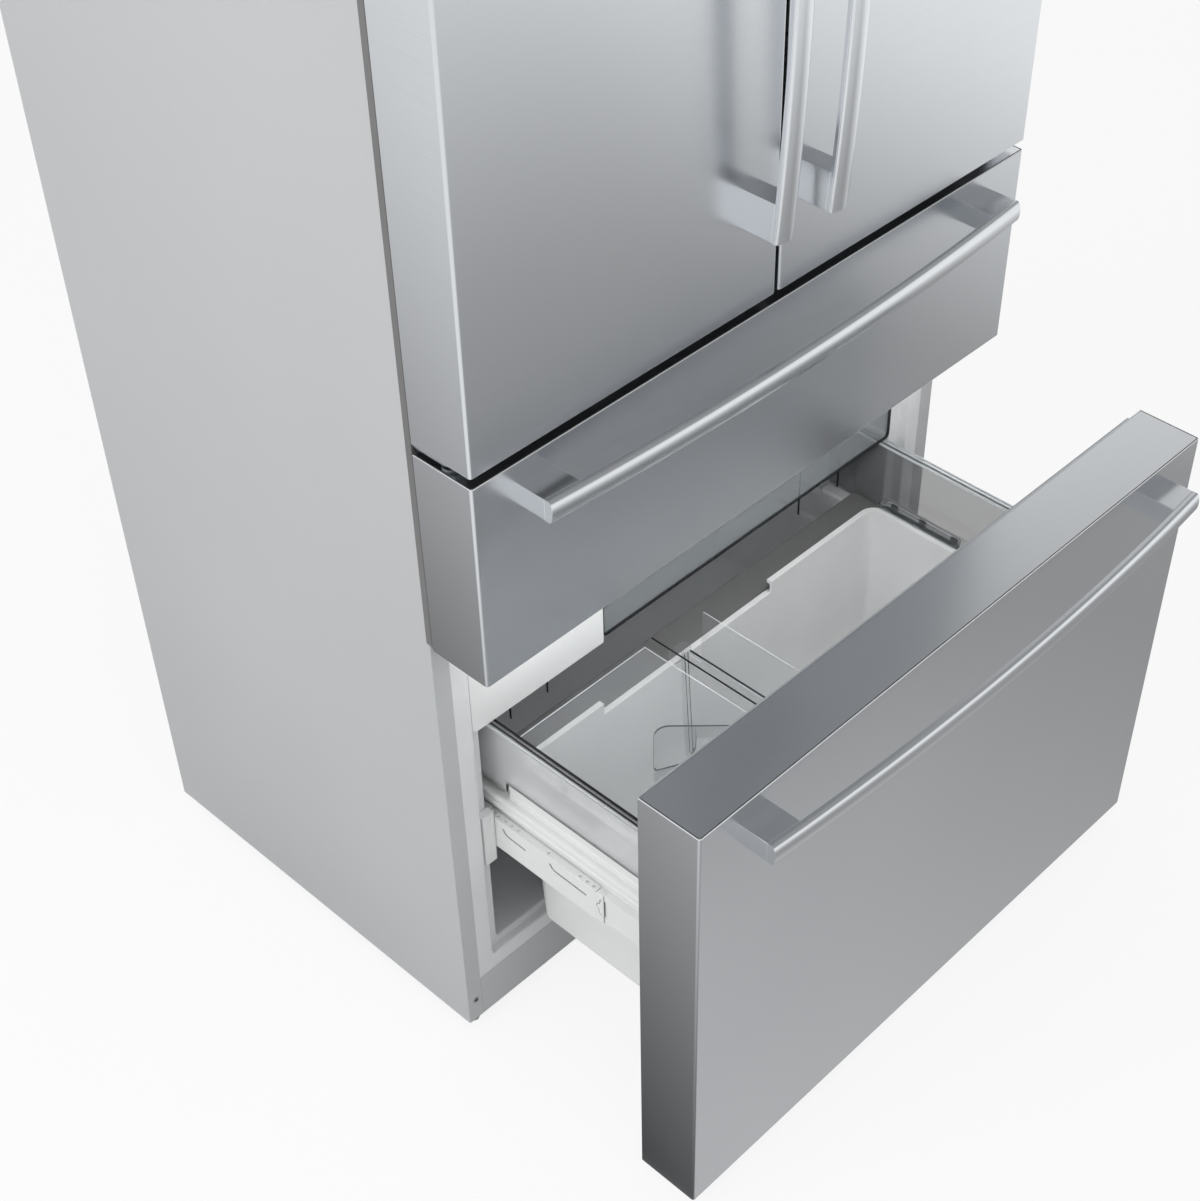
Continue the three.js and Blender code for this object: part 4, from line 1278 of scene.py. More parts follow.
@dataclass
class Handle:
    """A bowed bar, flat behind and rounded in front, on a flat post at each end."""

    node: str
    bow: float  # how far the bar's middle stands out beyond its ends
    standing: bool
    gap: float = 0.3  # between the CAD node and the front's face
    strip: float = 5.3  # depth of the bar's flat sides
    edge: float = 0.7  # slope along its back edges
    groove: Pair = (0.5, 0.15)  # width and depth of the line between flat side and crown
    lift: float = 0.2  # how far the crown's ends are from the groove
    crown: float = 6.0  # height of the rounded front
    steps: int = 16
    post_long: float = 47.0
    post_reach: float = 35.8  # from the front's face to the bar
    post_thin: float = 0.15  # how much the post is set back from the bar's sides
    post_sink: float = 0.35  # how far it goes into the bar
    post_root: float = 1.0  # how far it goes into the front

    def __post_init__(self) -> None:
        """Takes the bar's place from the CAD node."""
        low, high = size_of(self.node)
        self.along, across = (2, 0) if self.standing else (0, 2)
        self.length = high[self.along] - low[self.along]
        self.half = (high[across] - low[across]) / 2
        self.centre = (low + high) / 2
        self.face = high.y + self.gap
        self.seat = self.face - self.post_reach  # back of the bar at its ends

    def profile(self) -> Outline:
        """The bar's outline.

        Returns:
            Pairs of the distances across the bar and out of its back.
        """
        half, edge, strip, lift = self.half, self.edge, self.strip, self.lift
        wide, deep = self.groove
        back = [(-half, edge), (edge - half, 0.0), (half - edge, 0.0), (half, edge)]
        line = [(half, strip - wide), (half - wide, strip - deep)]
        turns = [math.pi * i / self.steps for i in range(self.steps + 1)]
        crown = [(half * math.cos(a), strip + lift + (self.crown - lift) * math.sin(a)) for a in turns]
        mirrored = [(-across, out) for across, out in reversed(line)]
        return [*back, *line, (half, strip), *crown, *mirrored]

    def bar(self) -> Work:
        """The bowed bar: its outline spun from the middle to one end, squared there and mirrored.

        Returns:
            The piece.
        """
        along, centre, length, seat = self.along, self.centre, self.length, self.seat
        radius = (length**2 / 4 + self.bow**2) / (2 * self.bow)
        swing = math.asin(length / 2 / radius)
        pivot = Vector(centre)
        pivot.y = seat - self.bow + radius
        pairs = []
        for wide, out in self.profile():
            y = seat - self.bow - out
            pairs.append((centre.x + wide, y) if self.standing else (y, centre.z + wide))
        bar = Work.section(Axis.Z if self.standing else Axis.X, pairs, centre[along], False)
        axis = (1.0, 0.0, 0.0) if self.standing else (0.0, 0.0, 1.0)
        bar.everything()
        bpy.ops.mesh.spin(steps=self.steps, angle=swing, center=pivot * MM, axis=axis)
        put_down()
        reach = sum(v.co[along] / MM - centre[along] for v in bar.obj.data.vertices)
        end = centre[along] + math.copysign(length / 2, reach)
        flat = Vector((1.0, 1.0, 1.0))
        flat[along] = 0.0
        tip = Vector((0.0, 0.0, 0.0))
        tip[along] = end
        bar.points(lambda p: abs(p[along] - end) < 4).scale(flat, tip)
        other = bar.twin()
        flat[along] = -1.0
        other.everything().scale(flat, centre)
        bar.join(other).outwards()
        for s in ENDS:
            tip[along] = centre[along] + s * length / 2
            bar.edges(lambda a, b: abs(a[along] - tip[along]) + abs(b[along] - tip[along]) < TOUCH)
            bpy.ops.mesh.edge_face_add()
        return bar.outwards().soften(0.5, 2, 50)

    def post(self, s: int) -> Work:
        """One post, its outer side flush with the bar's end.

        Args:
            s: which end.

        Returns:
            The piece.
        """
        along, centre, length, half = self.along, self.centre, self.length, self.half
        across = 2 - along
        low, high = Vector(centre), Vector(centre)
        low[along] += s * length / 2
        high[along] += s * (length / 2 - self.post_long)
        low[across] -= half - self.post_thin
        high[across] += half - self.post_thin
        low.y, high.y = self.seat - self.post_sink, self.face + self.post_root
        post = Work.block(low, high)
        inner = high[along]
        rise = self.bow * (1 - (1 - 2 * self.post_long / length) ** 2)
        post.points(lambda p: abs(p[along] - inner) < TOUCH and p.y < self.seat + 1)
        return post.shift((0, -rise, 0)).soften(0.9, 3)

    def build(self) -> None:
        """Builds the handle."""
        handle = self.bar().join(*[self.post(s) for s in ENDS])
        finish = BAR_UPRIGHT if self.standing else BAR_ACROSS
        handle.done(f"{self.node}_brushed", finish, self.node)


@dataclass
class Doors:
    """The two upper doors, with their linings, seals, handles and bins, and the mullion."""

    bow: float = 13.0  # of the handles
    bin_foot: float = 9.0
    bin_draft: float = 2.0
    bin_lip: float = 0.6  # width of the fine step round a bin's mouth
    bin_step: float = 0.1

    def build(self) -> None:
        """Builds both doors."""
        for side, s in SIDES:
            Front(f"{side}_door_skin", (s * PIN_X,)).build()
            copied(f"{side}_door_liner", LINER_WHITE, 1.6, 3)
            Gasket(f"{side}_door_gasket").build()
            Handle(f"{side}_door_handle", self.bow, standing=True).build()
            for level in ("lower", "upper"):
                self.bin(f"{side}_door_bin_{level}")
        copied("flip_mullion", ABS_GREY, 1.5, 3)

    def bin(self, node: str) -> None:
        """A clear door bin with a dark edge round its mouth, a painted reflection.

        Args:
            node: its CAD node.
        """
        low, high = size_of(node)

        def mouth(p: Vector, n: Vector) -> bool:
            """Whether a face lies round the mouth."""
            return n.z > FACING and p.z > high.z - 1

        body = Tub(tuple(low), tuple(high), foot=self.bin_foot, draft=self.bin_draft).build()
        body.faces(mouth).inset(self.bin_lip).extrude((0, 0, -self.bin_step))
        # painted dark reflection round the mouth
        body.trim(SAN_EDGE, mouth)
        body.soften(0.4, 1).done(f"{node}_moulded", SAN_CLEAR, node)


@dataclass
class Hinges:
    """Plates under the doors and housings above them."""

    bush: Pair = (8.6, 5.4)  # radius and height
    bush_z: float = 957.2  # its middle
    collar: Pair = (7.2, 1.4)
    collar_z: float = 966.0

    def build(self) -> None:
        """Builds the four hinges."""
        for side, s in SIDES:
            node = f"hinge_middle_{side}"
            x, y = s * PIN_X, PIN_Y
            bush = Work.rod(Axis.Z, (x, y, self.bush_z), *self.bush).soften(1.6, 3)
            collar = Work.rod(Axis.Z, (x, y, self.collar_z), *self.collar).soften(0.3, 1)
            plate = Work.copy_of(node).soften(0.7, 2)
            plate.join(bush, collar).done(f"{node}_bushed", GALVANISED, node)
            copied(f"hinge_top_{side}", ABS_GREY, 2.6, 4)


# ---- rooms behind the doors ----


@dataclass
class FreshRoom:
    """Shelves and crispers behind the upper doors."""

    trim: float = 11.0  # depth of the trims along a shelf's front and back
    trim_over: float = 3.5  # how far they stand above the shelf
    trim_under: float = 0.2
    glass_in: float = 4.0  # from the glass to the trims' outer edges
    glass_thin: float = 0.3  # how much it is thinner than the shelf at each face
    crisper_face: float = 9.0  # from the front of the pull to the crisper's front
    pull_in: float = 60.0  # from the pull's ends to the crisper's sides
    pull_top: float = 18.0  # from the crisper's top to the pull's top and foot
    pull_foot: float = 26.0

    def shelf(self, node: str) -> None:
        """A glass plate between moulded trims.

        Args:
            node: its CAD node.
        """
        low, high = size_of(node)
        margin = Vector((0, self.glass_in, self.glass_thin))
        glass = Work.block(low + margin, high - margin)
        glass.soften(0.8, 2).done(f"{node}_pane", GLASS, node)
        for name, y in (("front", low.y), ("rear", high.y - self.trim)):
            bead = Work.block(
                (low.x, y, low.z - self.trim_under),
                (high.x, y + self.trim, high.z + self.trim_over),
            )
            bead.edges(lambda a, b: abs(a.x - b.x) > 100).bevel(2.0, 3)
            bead.soften(0.5, 1).done(f"{node}_{name}_trim", ABS_WHITE, body="cabinet")

    def crisper(self, node: str) -> None:
        """A clear crisper with a pull along its front.

        Args:
            node: its CAD node.
        """
        low, high = size_of(node)
        front = low.y + self.crisper_face
        body = Tub((low.x, front, low.z), tuple(high), corner=14.0, foot=10.0).build()
        pull = Work.block(
            (low.x + self.pull_in, low.y, high.z - self.pull_foot),
            (high.x - self.pull_in, front + 1.5, high.z - self.pull_top),
        )
        pull.edges(lambda a, b: abs(a.x - b.x) > 50).bevel(2.4, 3)
        body.join(pull.soften(0.5, 1))
        # painted dark reflection along the top of its walls
        body.trim(SAN_EDGE, lambda p, n: n.z > FACING and p.z > high.z - 1)
        body.done(f"{node}_moulded", SAN_CLEAR, node)

    def build(self) -> None:
        """Builds the shelves and crispers."""
        for node in ("shelf_upper", "shelf_lower", "crisper_cover"):
            self.shelf(node)
        for side, _ in SIDES:
            self.crisper(f"crisper_{side}")


@dataclass
class DrawerFronts:
    """The middle drawer with its bin, and the freezer drawer's front."""

    bow: float = 17.0  # of the handles
    bin_half: float = 384.0
    wing_top: float = 22.0  # from the bin's top to the wings that run on the room's ledges
    wing_foot: float = 26.7

    def bin(self) -> None:
        """The middle drawer's white bin, with a wing along each side."""
        low, high = size_of("middle_drawer_bin")
        half = self.bin_half
        tub = Tub((-half, low.y, low.z), (half, high.y, high.z), corner=16.0, foot=12.0, draft=0.0)
        body = tub.build()
        for s in ENDS:
            wing = Work.block(
                (s * (half - 1), CASE_FRONT + 2, high.z - self.wing_foot),
                (s * high.x, high.y - 2, high.z - self.wing_top),
            )
            body.join(wing.soften(0.8, 2))
        body.done("middle_drawer_bin_moulded", ABS_WHITE, "middle_drawer_bin")

    def build(self) -> None:
        """Builds both fronts and the middle bin."""
        for name in ("middle", "freezer"):
            Front(f"{name}_drawer_skin").build()
            copied(f"{name}_drawer_liner", LINER_WHITE, 1.6, 3)
            Gasket(f"{name}_drawer_gasket").build()
            Handle(f"{name}_drawer_handle", self.bow, standing=False).build()
        self.bin()


# ---- the freezer ----


@dataclass
class FreezerRoom:
    """What is fixed in the freezer: duct cover, ice box, clear tray and the outer rails."""

    front: float = CASE_FRONT + 12  # of the ice box and the tray
    ribs: tuple[float, ...] = (90.0, 130.0, 170.0)  # above the duct cover's foot
    rib_half: float = 330.0
    ice: Box = (-376.5, -184.5, 515.0, 645.0)  # the ice box in x and z
    ice_corner: float = 14.0
    panel: Box = (-398.5, -181.0, 509.0, 645.0)  # the panel in front of it
    panel_front: float = -68.0
    tray_box: Box = (-176.5, 379.5, 510.0, 640.0)
    tray_corner: float = 7.0
    tray_edge: float = 2.6  # width of the painted dark reflection round its front
    wall: float = 3.0
    flange: Pair = (594.3, 598.0)  # foot and top of what hangs the box and the tray
    flange_out: float = 381.9
    rail_z: Pair = (300.7, 357.3)
    rail_x: Pair = (382.2, 369.2)  # its outer and inner sides
    rail_front: float = -57.9
    rail_sheet: float = 2.0
    plate_y: Pair = (-66.5, -36.0)  # the plate that carries the rail in front
    plate_in: float = 380.25
    mouth_x: float = 399.5  # the bracket in the liner's mouth
    mouth_y: Pair = (-72.6, -60.4)

    def duct(self) -> None:
        """The air duct cover with three raised ribs."""
        work = Work.copy_of("evaporator_cover").soften(0.5, 2)
        low, _ = size_of("evaporator_cover")
        for height in self.ribs:
            z = low.z + height
            rib = Work.block((-self.rib_half, low.y - 2.5, z), (self.rib_half, low.y + 0.5, z + 9))
            work.join(rib.soften(1.1, 2))
        work.done("evaporator_cover_ribbed", DUCT_GREY_AND_SHADE, "evaporator_cover")

    def ice_box(self) -> None:
        """The white ice box: a rounded shell with a front panel and what it hangs from."""
        _, high = size_of("ice_maker_box")
        x0, x1, z0, z1 = self.ice
        r, wall, front, back = self.ice_corner, self.wall, self.front, high.y
        outline = [*arc(x0 + r, z0 + r, r, 180, 270, 7), (x1, z0), (x1, z1), (x0, z1)]
        body = Work.slab(Axis.Y, outline, front, back)
        body.cut(Work.block((x0 + wall, front + wall, z0 + 12), (x1 - wall, back - wall, z1 + 5)))
        body.soften(1.3, 3, 50)
        foot, top = self.flange
        flange = Work.block((-self.flange_out, front + 5, foot), (x0 + 1, back - 2, top))
        ledge = Work.block((x1 - 1, front + 5, 590), (x1 + 7, back - 2, 594))
        hanger = Work.block((x1 - 3, front + 48, z1 - 5), (x1, back - 20, 654.7))
        p0, p1, q0, q1 = self.panel
        wide, fine = 8.0, 1.5  # radii of the panel's lower corners
        face = [
            *arc(p0 + wide, q0 + wide, wide, 180, 270, 5),
            *arc(p1 - fine, q0 + fine, fine, 270, 360, 4),
            (p1, q1),
            (p0, q1),
        ]
        panel = Work.slab(Axis.Y, face, self.panel_front, front + 1).soften(1.0, 2, 60)
        body.join(flange.soften(0.6, 2), ledge.soften(0.6, 2), hanger.soften(0.5, 2), panel)
        body.done("ice_maker_box_moulded", ABS_WHITE, "ice_maker_box")

    def tray_form(self, inset: float) -> Outline:
        """The tray's outline, or its hollow's, which goes on above the mouth.

        Args:
            inset: how far it is set in.

        Returns:
            The outline.
        """
        x0, x1, z0, z1 = self.tray_box
        r = self.tray_corner - inset / 2
        left, right, foot, top = x0 + inset, x1 - inset, z0 + inset + r, z1 + inset
        return [
            *arc(left + r, foot, r, 180, 270, 6),
            *arc(right - r, foot, r, 270, 360, 6),
            (right, top),
            (left, top),
        ]

    def tray(self) -> None:
        """The clear upper tray, with a dark line of painted reflection round its front."""
        _, high = size_of("upper_tray")
        x0, x1, _, _ = self.tray_box
        wall, front, back = self.wall, self.front, high.y
        body = Work.slab(Axis.Y, self.tray_form(0.0), front, back)
        body.cut(Work.slab(Axis.Y, self.tray_form(wall), front + wall, back - wall))
        body.soften(0.5, 1, 60)
        foot, top = self.flange
        left = Work.block((x0 - 7, front + 5, foot), (x0 + 1, back - 44, top))
        right = Work.block((x1 - 1, front + 5, foot), (self.flange_out, back - 2, top))
        body.join(left.soften(0.5, 1), right.soften(0.5, 1))
        body.done("upper_tray_moulded", SAN_CLEAR, "upper_tray")

        # the dark line round the front is a painted reflection
        band = Work.slab(Axis.Y, self.tray_form(-0.2), front - 0.6, front + 3.2)
        band.cut(Work.slab(Axis.Y, self.tray_form(self.tray_edge), front - 8, front + 9))
        band.soften(0.5, 1, 60).done("upper_tray_front_edge", SAN_EDGE, body="cabinet")

    def rail(self, side: str, s: int) -> None:
        """A fixed outer rail, with its bracket standing in the liner's mouth.

        Args:
            side: which side it is on.
            s: -1 on the left, 1 on the right.
        """
        node = f"freezer_rail_{side}"
        _, high = size_of(node)
        (z0, z1), (out, within), sheet = self.rail_z, self.rail_x, self.rail_sheet
        rail = Work.block((s * out, self.rail_front, z0), (s * within, high.y, z1))
        rail.cut(
            Work.block(
                (s * (out - sheet), self.rail_front - 12, z0 + sheet),
                (s * (within - 9), high.y + 9, z1 - sheet),
            )
        )
        front, back = self.plate_y
        plate = Work.block((s * out, front, z0 - 20), (s * self.plate_in, back, z1))
        front, back = self.mouth_y
        mouth = Work.block((s * self.mouth_x, front, z0 - 18), (s * self.plate_in, back, z1 + 9))
        mouth.edges(lambda a, b: upright(a, b) and a.y < front + 0.5).bevel(2.5, 3)
        mouth.faces(lambda p, n: n.y < -SQUARE).inset(2.6).inset(0.6, -0.5)
        rail.soften(0.5, 2).join(plate.soften(0.4, 1), mouth)
        rail.done(f"{node}_formed", ABS_WHITE, node)

    def build(self) -> None:
        """Builds what is fixed in the freezer."""
        self.duct()
        self.ice_box()
        self.tray()
        for side, s in SIDES:
            self.rail(side, s)


@dataclass
class DrawerPart:
    """Sizes that the pieces behind the freezer drawer's front share."""

    start: float = -386.9  # back of the front
    end: float = 26.1  # rear end of the frame
    runner_end: float = -83.9  # rear end of the upper rails and the shelves
    half: float = 367.5  # to the frame's outer faces
    top: float = 508.0  # of the frame
    rim: float = 425.0  # of the basket


@dataclass
class Basket(DrawerPart):
    """The white basket with a rounded body and a rim lowered at the middle of its back."""

    body_half: float = 332.5
    wall: float = 3.0
    corner: float = 22.0
    foot: float = 16.0
    draft: float = 4.0
    slope_z: Pair = (90.0, 258.0)  # where the back slants, over the step in the liner
    slope: float = 32.0
    brim: float = 6.0  # how far the rim stands out at the sides
    brim_thick: float = 5.0
    brim_rear: float = 24.0  # radius of its rear corners
    dip: Pair = (-197.0, 118.0)  # the lowered stretch, in x
    dip_deep: float = 18.0

    def form(self, shrink: float) -> Work:
        """The body or its hollow, its back slanting in towards the foot.

        Args:
            shrink: how much smaller it is all round; nothing for the body.

        Returns:
            The piece.
        """
        low, high = size_of("freezer_basket")
        half, back = self.body_half, high.y - self.brim_thick
        z0, z1 = self.slope_z
        near = back + 1 - shrink
        wedge = [(back + 30, z0), (back + 30, z1), (near, z1), (near - self.slope, z0)]
        start = low.y + 1.2
        sizes = (self.wall, self.corner, self.foot, self.draft)
        tub = Tub((-half, start, low.z), (half, back, self.rim), *sizes)
        return tub.solid(shrink).cut(Work.slab(Axis.X, wedge, -half - 9, half + 9))

    def build(self) -> None:
        """Builds the basket."""
        low, high = size_of("freezer_basket")
        half, rim, thick = self.body_half + self.brim, self.rim, self.brim_thick
        back = high.y - thick
        body = self.form(0.0)
        brim = Work.block((-half, low.y, rim - thick), (half, high.y, rim))
        brim.edges(lambda a, b: upright(a, b) and a.y > back).bevel(self.brim_rear, 6)
        brim.edges(lambda a, b: upright(a, b) and a.y < low.y + 1).bevel(self.brim, 4)
        body.weld(brim)
        left, right = self.dip
        floor = rim - self.dip_deep
        body.cut(Work.block((left, back - 20, floor), (right, back + 12, rim + 1)))
        body.weld(Work.block((left - 4, back - 1.5, floor - thick), (right + 4, high.y, floor)))
        body.cut(self.form(self.wall)).outwards(ALIKE).soften(0.9, 2, 50)
        body.done("freezer_basket_moulded", ABS_WHITE, "freezer_basket")


@dataclass
class DrawerFrame(DrawerPart):
    """The clear frame over the basket: side walls with shelves, a rear wall and a cover pane."""

    wall: float = 3.0
    shelf_z: Pair = (413.3, 419.7)  # foot and top of the shelf inside a side wall
    shelf_in: float = 333.1
    heel: float = 398.0  # foot of a side wall behind its shelf
    corner: float = 12.0
    lip: Pair = (8.0, 13.0)  # from its outer face to the lip's outer side, and the lip's width
    lip_thick: float = 3.0
    line_high: float = 3.6
    outer_line: Pair = (8.0, 1.0)  # a line's outer side likewise, and its width
    light_lines: tuple[Pair, ...] = ((8.0, 1.0), (2.2, 1.0), (-4.2, 1.0))
    dark_lines: tuple[Pair, ...] = ((2.4, 0.8), (-1.6, 3.6))
    rear_y: float = -24.0
    rear_foot: float = 401.0
    rear_thick: float = 2.6
    slots: tuple[float, ...] = (-300.0, -237.0, 241.0, 324.0)
    slot_half: float = 0.5
    slot_z: Pair = (434.0, 520.0)
    ledge_deep: float = 52.0
    pane: Box = (-362.0, -150.0, -385.0, -107.0)  # the cover pane in x and y
    pane_z: float = 503.5
    pane_thick: float = 1.4
    pane_edge: float = 0.4  # how far its lit edges stand up

    def side(self, side: str, s: int) -> None:
        """A clear side wall with its shelf, its lip and lines of painted highlight and reflection along it.

        Args:
            side: which side it is on.
            s: -1 on the left, 1 on the right.
        """
        node = f"freezer_frame_{side}"
        out, top, end, r = self.half, self.top, self.end, self.corner
        foot, shelf_top = self.shelf_z
        behind = self.runner_end + 1
        outline = [
            (self.start, foot), (behind, foot), (behind, self.heel), (end, self.heel),
            *arc(end - r, top - r, r, 0, 90, 5), (self.start, top),
        ]
        wall = Work.slab(Axis.X, outline, s * out, s * (out - self.wall)).soften(0.4, 1)
        shelf = Work.block((s * out, self.start, foot), (s * self.shelf_in, self.runner_end, shelf_top))
        wall.join(shelf.soften(0.5, 1))
        # its edges get a painted dark reflection
        wall.trim(SAN_EDGE, lambda p, n: abs(n.x) < 0.4 and p.y < end - 20 and p.z < shelf_top + 0.3)
        wall.trim(
            SAN_MILKY,
            lambda p, n: abs(p.x) < out - self.wall - 0.4
            and foot - 0.1 < p.z < shelf_top + 0.1,
        )
        # the right wall gets the painted shade copy, the left wall the painted light copy
        wall.done(f"{node}_moulded", SAN_SHADED_WALL if s > 0 else SAN_VEIL, node)

        place, width = self.lip
        lip = Work.block(
            (s * (out + place), self.start, top - self.lip_thick),
            (s * (out + place - width), end - 6, top),
        )
        lip.soften(0.6, 1).done(f"frame_lip_{side}", SAN_FILM, body="freezer_drawer")
        # painted highlights on the right; on the left painted dark reflections, with one highlight outside
        # them
        places = self.light_lines if s > 0 else self.dark_lines
        lines = [self.line(s, *place) for place in places]
        finish = SAN_LIT if s > 0 else SAN_EDGE
        lines[0].join(*lines[1:]).done(f"frame_rim_lines_{side}", finish, body="freezer_drawer")
        if s < 0:
            line = self.line(s, *self.outer_line)
            line.done("frame_rim_light_left", SAN_LIT, body="freezer_drawer")

    def line(self, s: int, place: float, width: float) -> Work:
        """A line along the top of a side wall.

        Args:
            s: -1 on the left, 1 on the right.
            place: how far its outer side is from the wall's outer face.
            width: its width.

        Returns:
            The piece.
        """
        out = self.half + place
        low = (s * out, self.start, self.top - self.line_high)
        return Work.block(low, (s * (out - width), self.end - 4, self.top + 0.2)).soften(0.2, 1)

    def rear_wall(self) -> None:
        """The clear cross wall behind the basket, with upright slots, and the ledge at its foot."""
        half, front, foot = self.half - self.wall, self.rear_y, self.rear_foot
        back = front + self.rear_thick
        wall = Work.block((-half, front, foot), (half, back, self.top - 1))
        low, high = self.slot_z
        slots = [
            Work.block((x - self.slot_half, front - 8, low), (x + self.slot_half, front + 8, high))
            for x in self.slots
        ]
        wall.cut(slots[0].join(*slots[1:]))
        # its top and the sides of its slots get a painted dark reflection
        wall.trim(SAN_EDGE, lambda p, n: n.z > FACING or (abs(n.x) > FACING and abs(p.x) < half - 5))
        wall.done("frame_rear_wall", SAN_FILM, body="freezer_drawer")
        ledge = Work.block((-half, front - self.ledge_deep, foot - 2.4), (half, back, foot + 0.2))
        ledge.soften(0.5, 1).done("frame_rear_ledge", DUCT_GREY_AND_SHADE, body="freezer_drawer")

    def cover_pane(self) -> None:
        """A thin clear pane over the left of the basket, two of its edges catching the light."""
        x0, x1, y0, y1 = self.pane
        z = self.pane_z
        top = z + self.pane_thick
        edge = top + self.pane_edge
        pane = Work.block((x0, y0, z), (x1, y1, top))
        pane.join(
            Work.block((x0, y1 - 1.0, top), (x1, y1, edge)),
            Work.block((x1 - 1.0, y0, top), (x1, y1 - 1.0, edge)),
        )
        pane.trim(SAN_LIT, lambda p, n: abs(n.z) < 0.5 or p.z > top + 0.05)
        pane.done("frame_cover_pane", SAN_FILM, body="freezer_drawer")

    def build(self) -> None:
        """Builds the frame's rear wall and its cover pane."""
        self.rear_wall()
        self.cover_pane()


@dataclass
class Slides(DrawerPart):
    """The white runner under each side wall, and the telescopic member beside it."""

    slide_x: Pair = (377.6, 366.5)  # outer and inner sides of the runner's inner slide
    slide_z: Pair = (305.3, 352.7)
    web: Box = (367.0, 363.0, 312.0, 372.0)  # the upright web above it, in x and z
    outer: float = 379.9  # outer side of the member
    member_z: Pair = (303.0, 355.0)
    member_deep: float = 10.0
    sheet: float = 2.0
    ball_x: float = 375.1
    ball: float = 2.1  # radius of a ball hole
    balls: tuple[float, ...] = (-66.0, -74.0, -86.5, -98.0, -109.0, -161.5, -214.7, -226.0, -237.5)
    pressings: tuple[Pair, ...] = ((-88.0, -124.0), (-169.0, -228.0))  # from and to in y

    def runner(self, side: str, s: int) -> None:
        """The white runner: an inner slide, a web and two rounded rails.

        Args:
            side: which side it is on.
            s: -1 on the left, 1 on the right.
        """
        node = f"freezer_runner_{side}"
        (x0, x1), (z0, z1) = self.slide_x, self.slide_z
        slide = Work.block((s * x0, self.start, z0), (s * x1, self.end, z1))
        slide.faces(lambda p, n: n.x * s > FACING).inset(9.0).inset(2.0, -1.6)
        slide.soften(0.8, 2)
        x0, x1, z0, z1 = self.web
        web = Work.block((s * x0, self.start, z0), (s * x1, self.end, z1))
        lower = self.rolled(
            s,
            self.end,
            [
                (6.5, 369), (5.6, 366.6), (3.5, 365), (-11.5, 365), (-15.5, 369),
                (-15.5, 384), (-12.5, 388), (3.0, 388), (5.4, 386.8), (6.5, 384.4),
                (6.5, 379.6), (5.3, 378.6), (5.3, 374.6), (6.5, 373.6),
            ],
        )
        lower.soften(0.8, 2, 25)
        upper = self.rolled(
            s,
            self.runner_end,
            [
                (-1.5, 386.5), (-1.5, 395.6), (-2.8, 397), (-2.8, 399.6), (-1.5, 401),
                (-1.5, 409), (-2.4, 411.6), (-4.8, 412.9), (-15.5, 412.9), (-18.5, 409),
                (-18.5, 390), (-15, 386.5),
            ],
        )
        upper.edges(lambda a, b: min(a.y, b.y) > self.runner_end - 1).bevel(4.0, 4)
        upper.soften(0.6, 2, 25)
        slide.join(web, lower, upper).done(f"{node}_moulded", ABS_WHITE, node)

    def rolled(self, s: int, end: float, outline: Outline) -> Work:
        """A rail along Y; its outline says how far out of the frame's outer face, and z."""
        pairs = [(s * (self.half + out), z) for out, z in outline]
        return Work.slab(Axis.Y, pairs, self.start, end)

    def member(self, side: str, s: int) -> None:
        """A telescopic member: a channel with ball holes, two pressed slots and an end clip.

        Args:
            side: which side it is on.
            s: -1 on the left, 1 on the right.
        """
        node = f"freezer_member_{side}"
        low, high = size_of(node)
        outer, sheet, (z0, z1) = self.outer, self.sheet, self.member_z
        work = Work.block((s * outer, low.y, z0), (s * (outer - self.member_deep), high.y, z1))
        work.cut(
            Work.block(
                (s * (outer - sheet), low.y - 9, z0 + sheet),
                (s * (outer - 20), high.y + 9, z1 - sheet),
            )
        )
        holes = [Work.rod(Axis.Z, (s * self.ball_x, y, z1 - 1), self.ball, 12, 14) for y in self.balls]
        for start, end in self.pressings:
            pressed = [
                (start + 1.4, 344.6), (start - 2.2, 339.4), (start - 6.4, 337.4),
                (end, 336.2), (end, 332.6), (start - 4.6, 333.8), (start + 0.6, 336.4),
                (start + 5.0, 343.0),
            ]
            holes.append(Work.slab(Axis.X, pressed, s * (outer + 3), s * (outer - 5)))
        work.cut(holes[0].join(*holes[1:]))
        work.soften(0.4, 1)

        # painted shade: dark backs behind the ball holes and the pressed slots, seen through them
        backs = [((self.ball_x + 3.5, -240.0, 350.2), (self.ball_x - 2.9, -63.0, 352.6))]
        face = outer - sheet - 0.1
        backs += [((face, end - 2, 331.0), (face - 0.9, start + 6, 345.5)) for start, end in self.pressings]
        for (x0, y0, z0), (x1, y1, z1) in backs:
            work.join(Work.block((s * x0, y0, z0), (s * x1, y1, z1)))

        def dark(p: Vector, n: Vector) -> bool:
            """Whether a face belongs to one of the dark backs."""
            place = (p.x * s, p.y, p.z)
            return any(
                all(min(a, b) - 0.1 < c < max(a, b) + 0.1 for a, b, c in zip(*corners, place))
                for corners in backs
            )

        work.trim(GAP_SHADE, dark)
        bead = Work.block((s * outer, low.y + 2, 316), (s * (outer + 0.2), high.y, 318))
        work.join(bead.soften(0.08, 1), self.clip(s, low.y))
        work.done(f"{node}_pressed", ABS_WHITE, node)

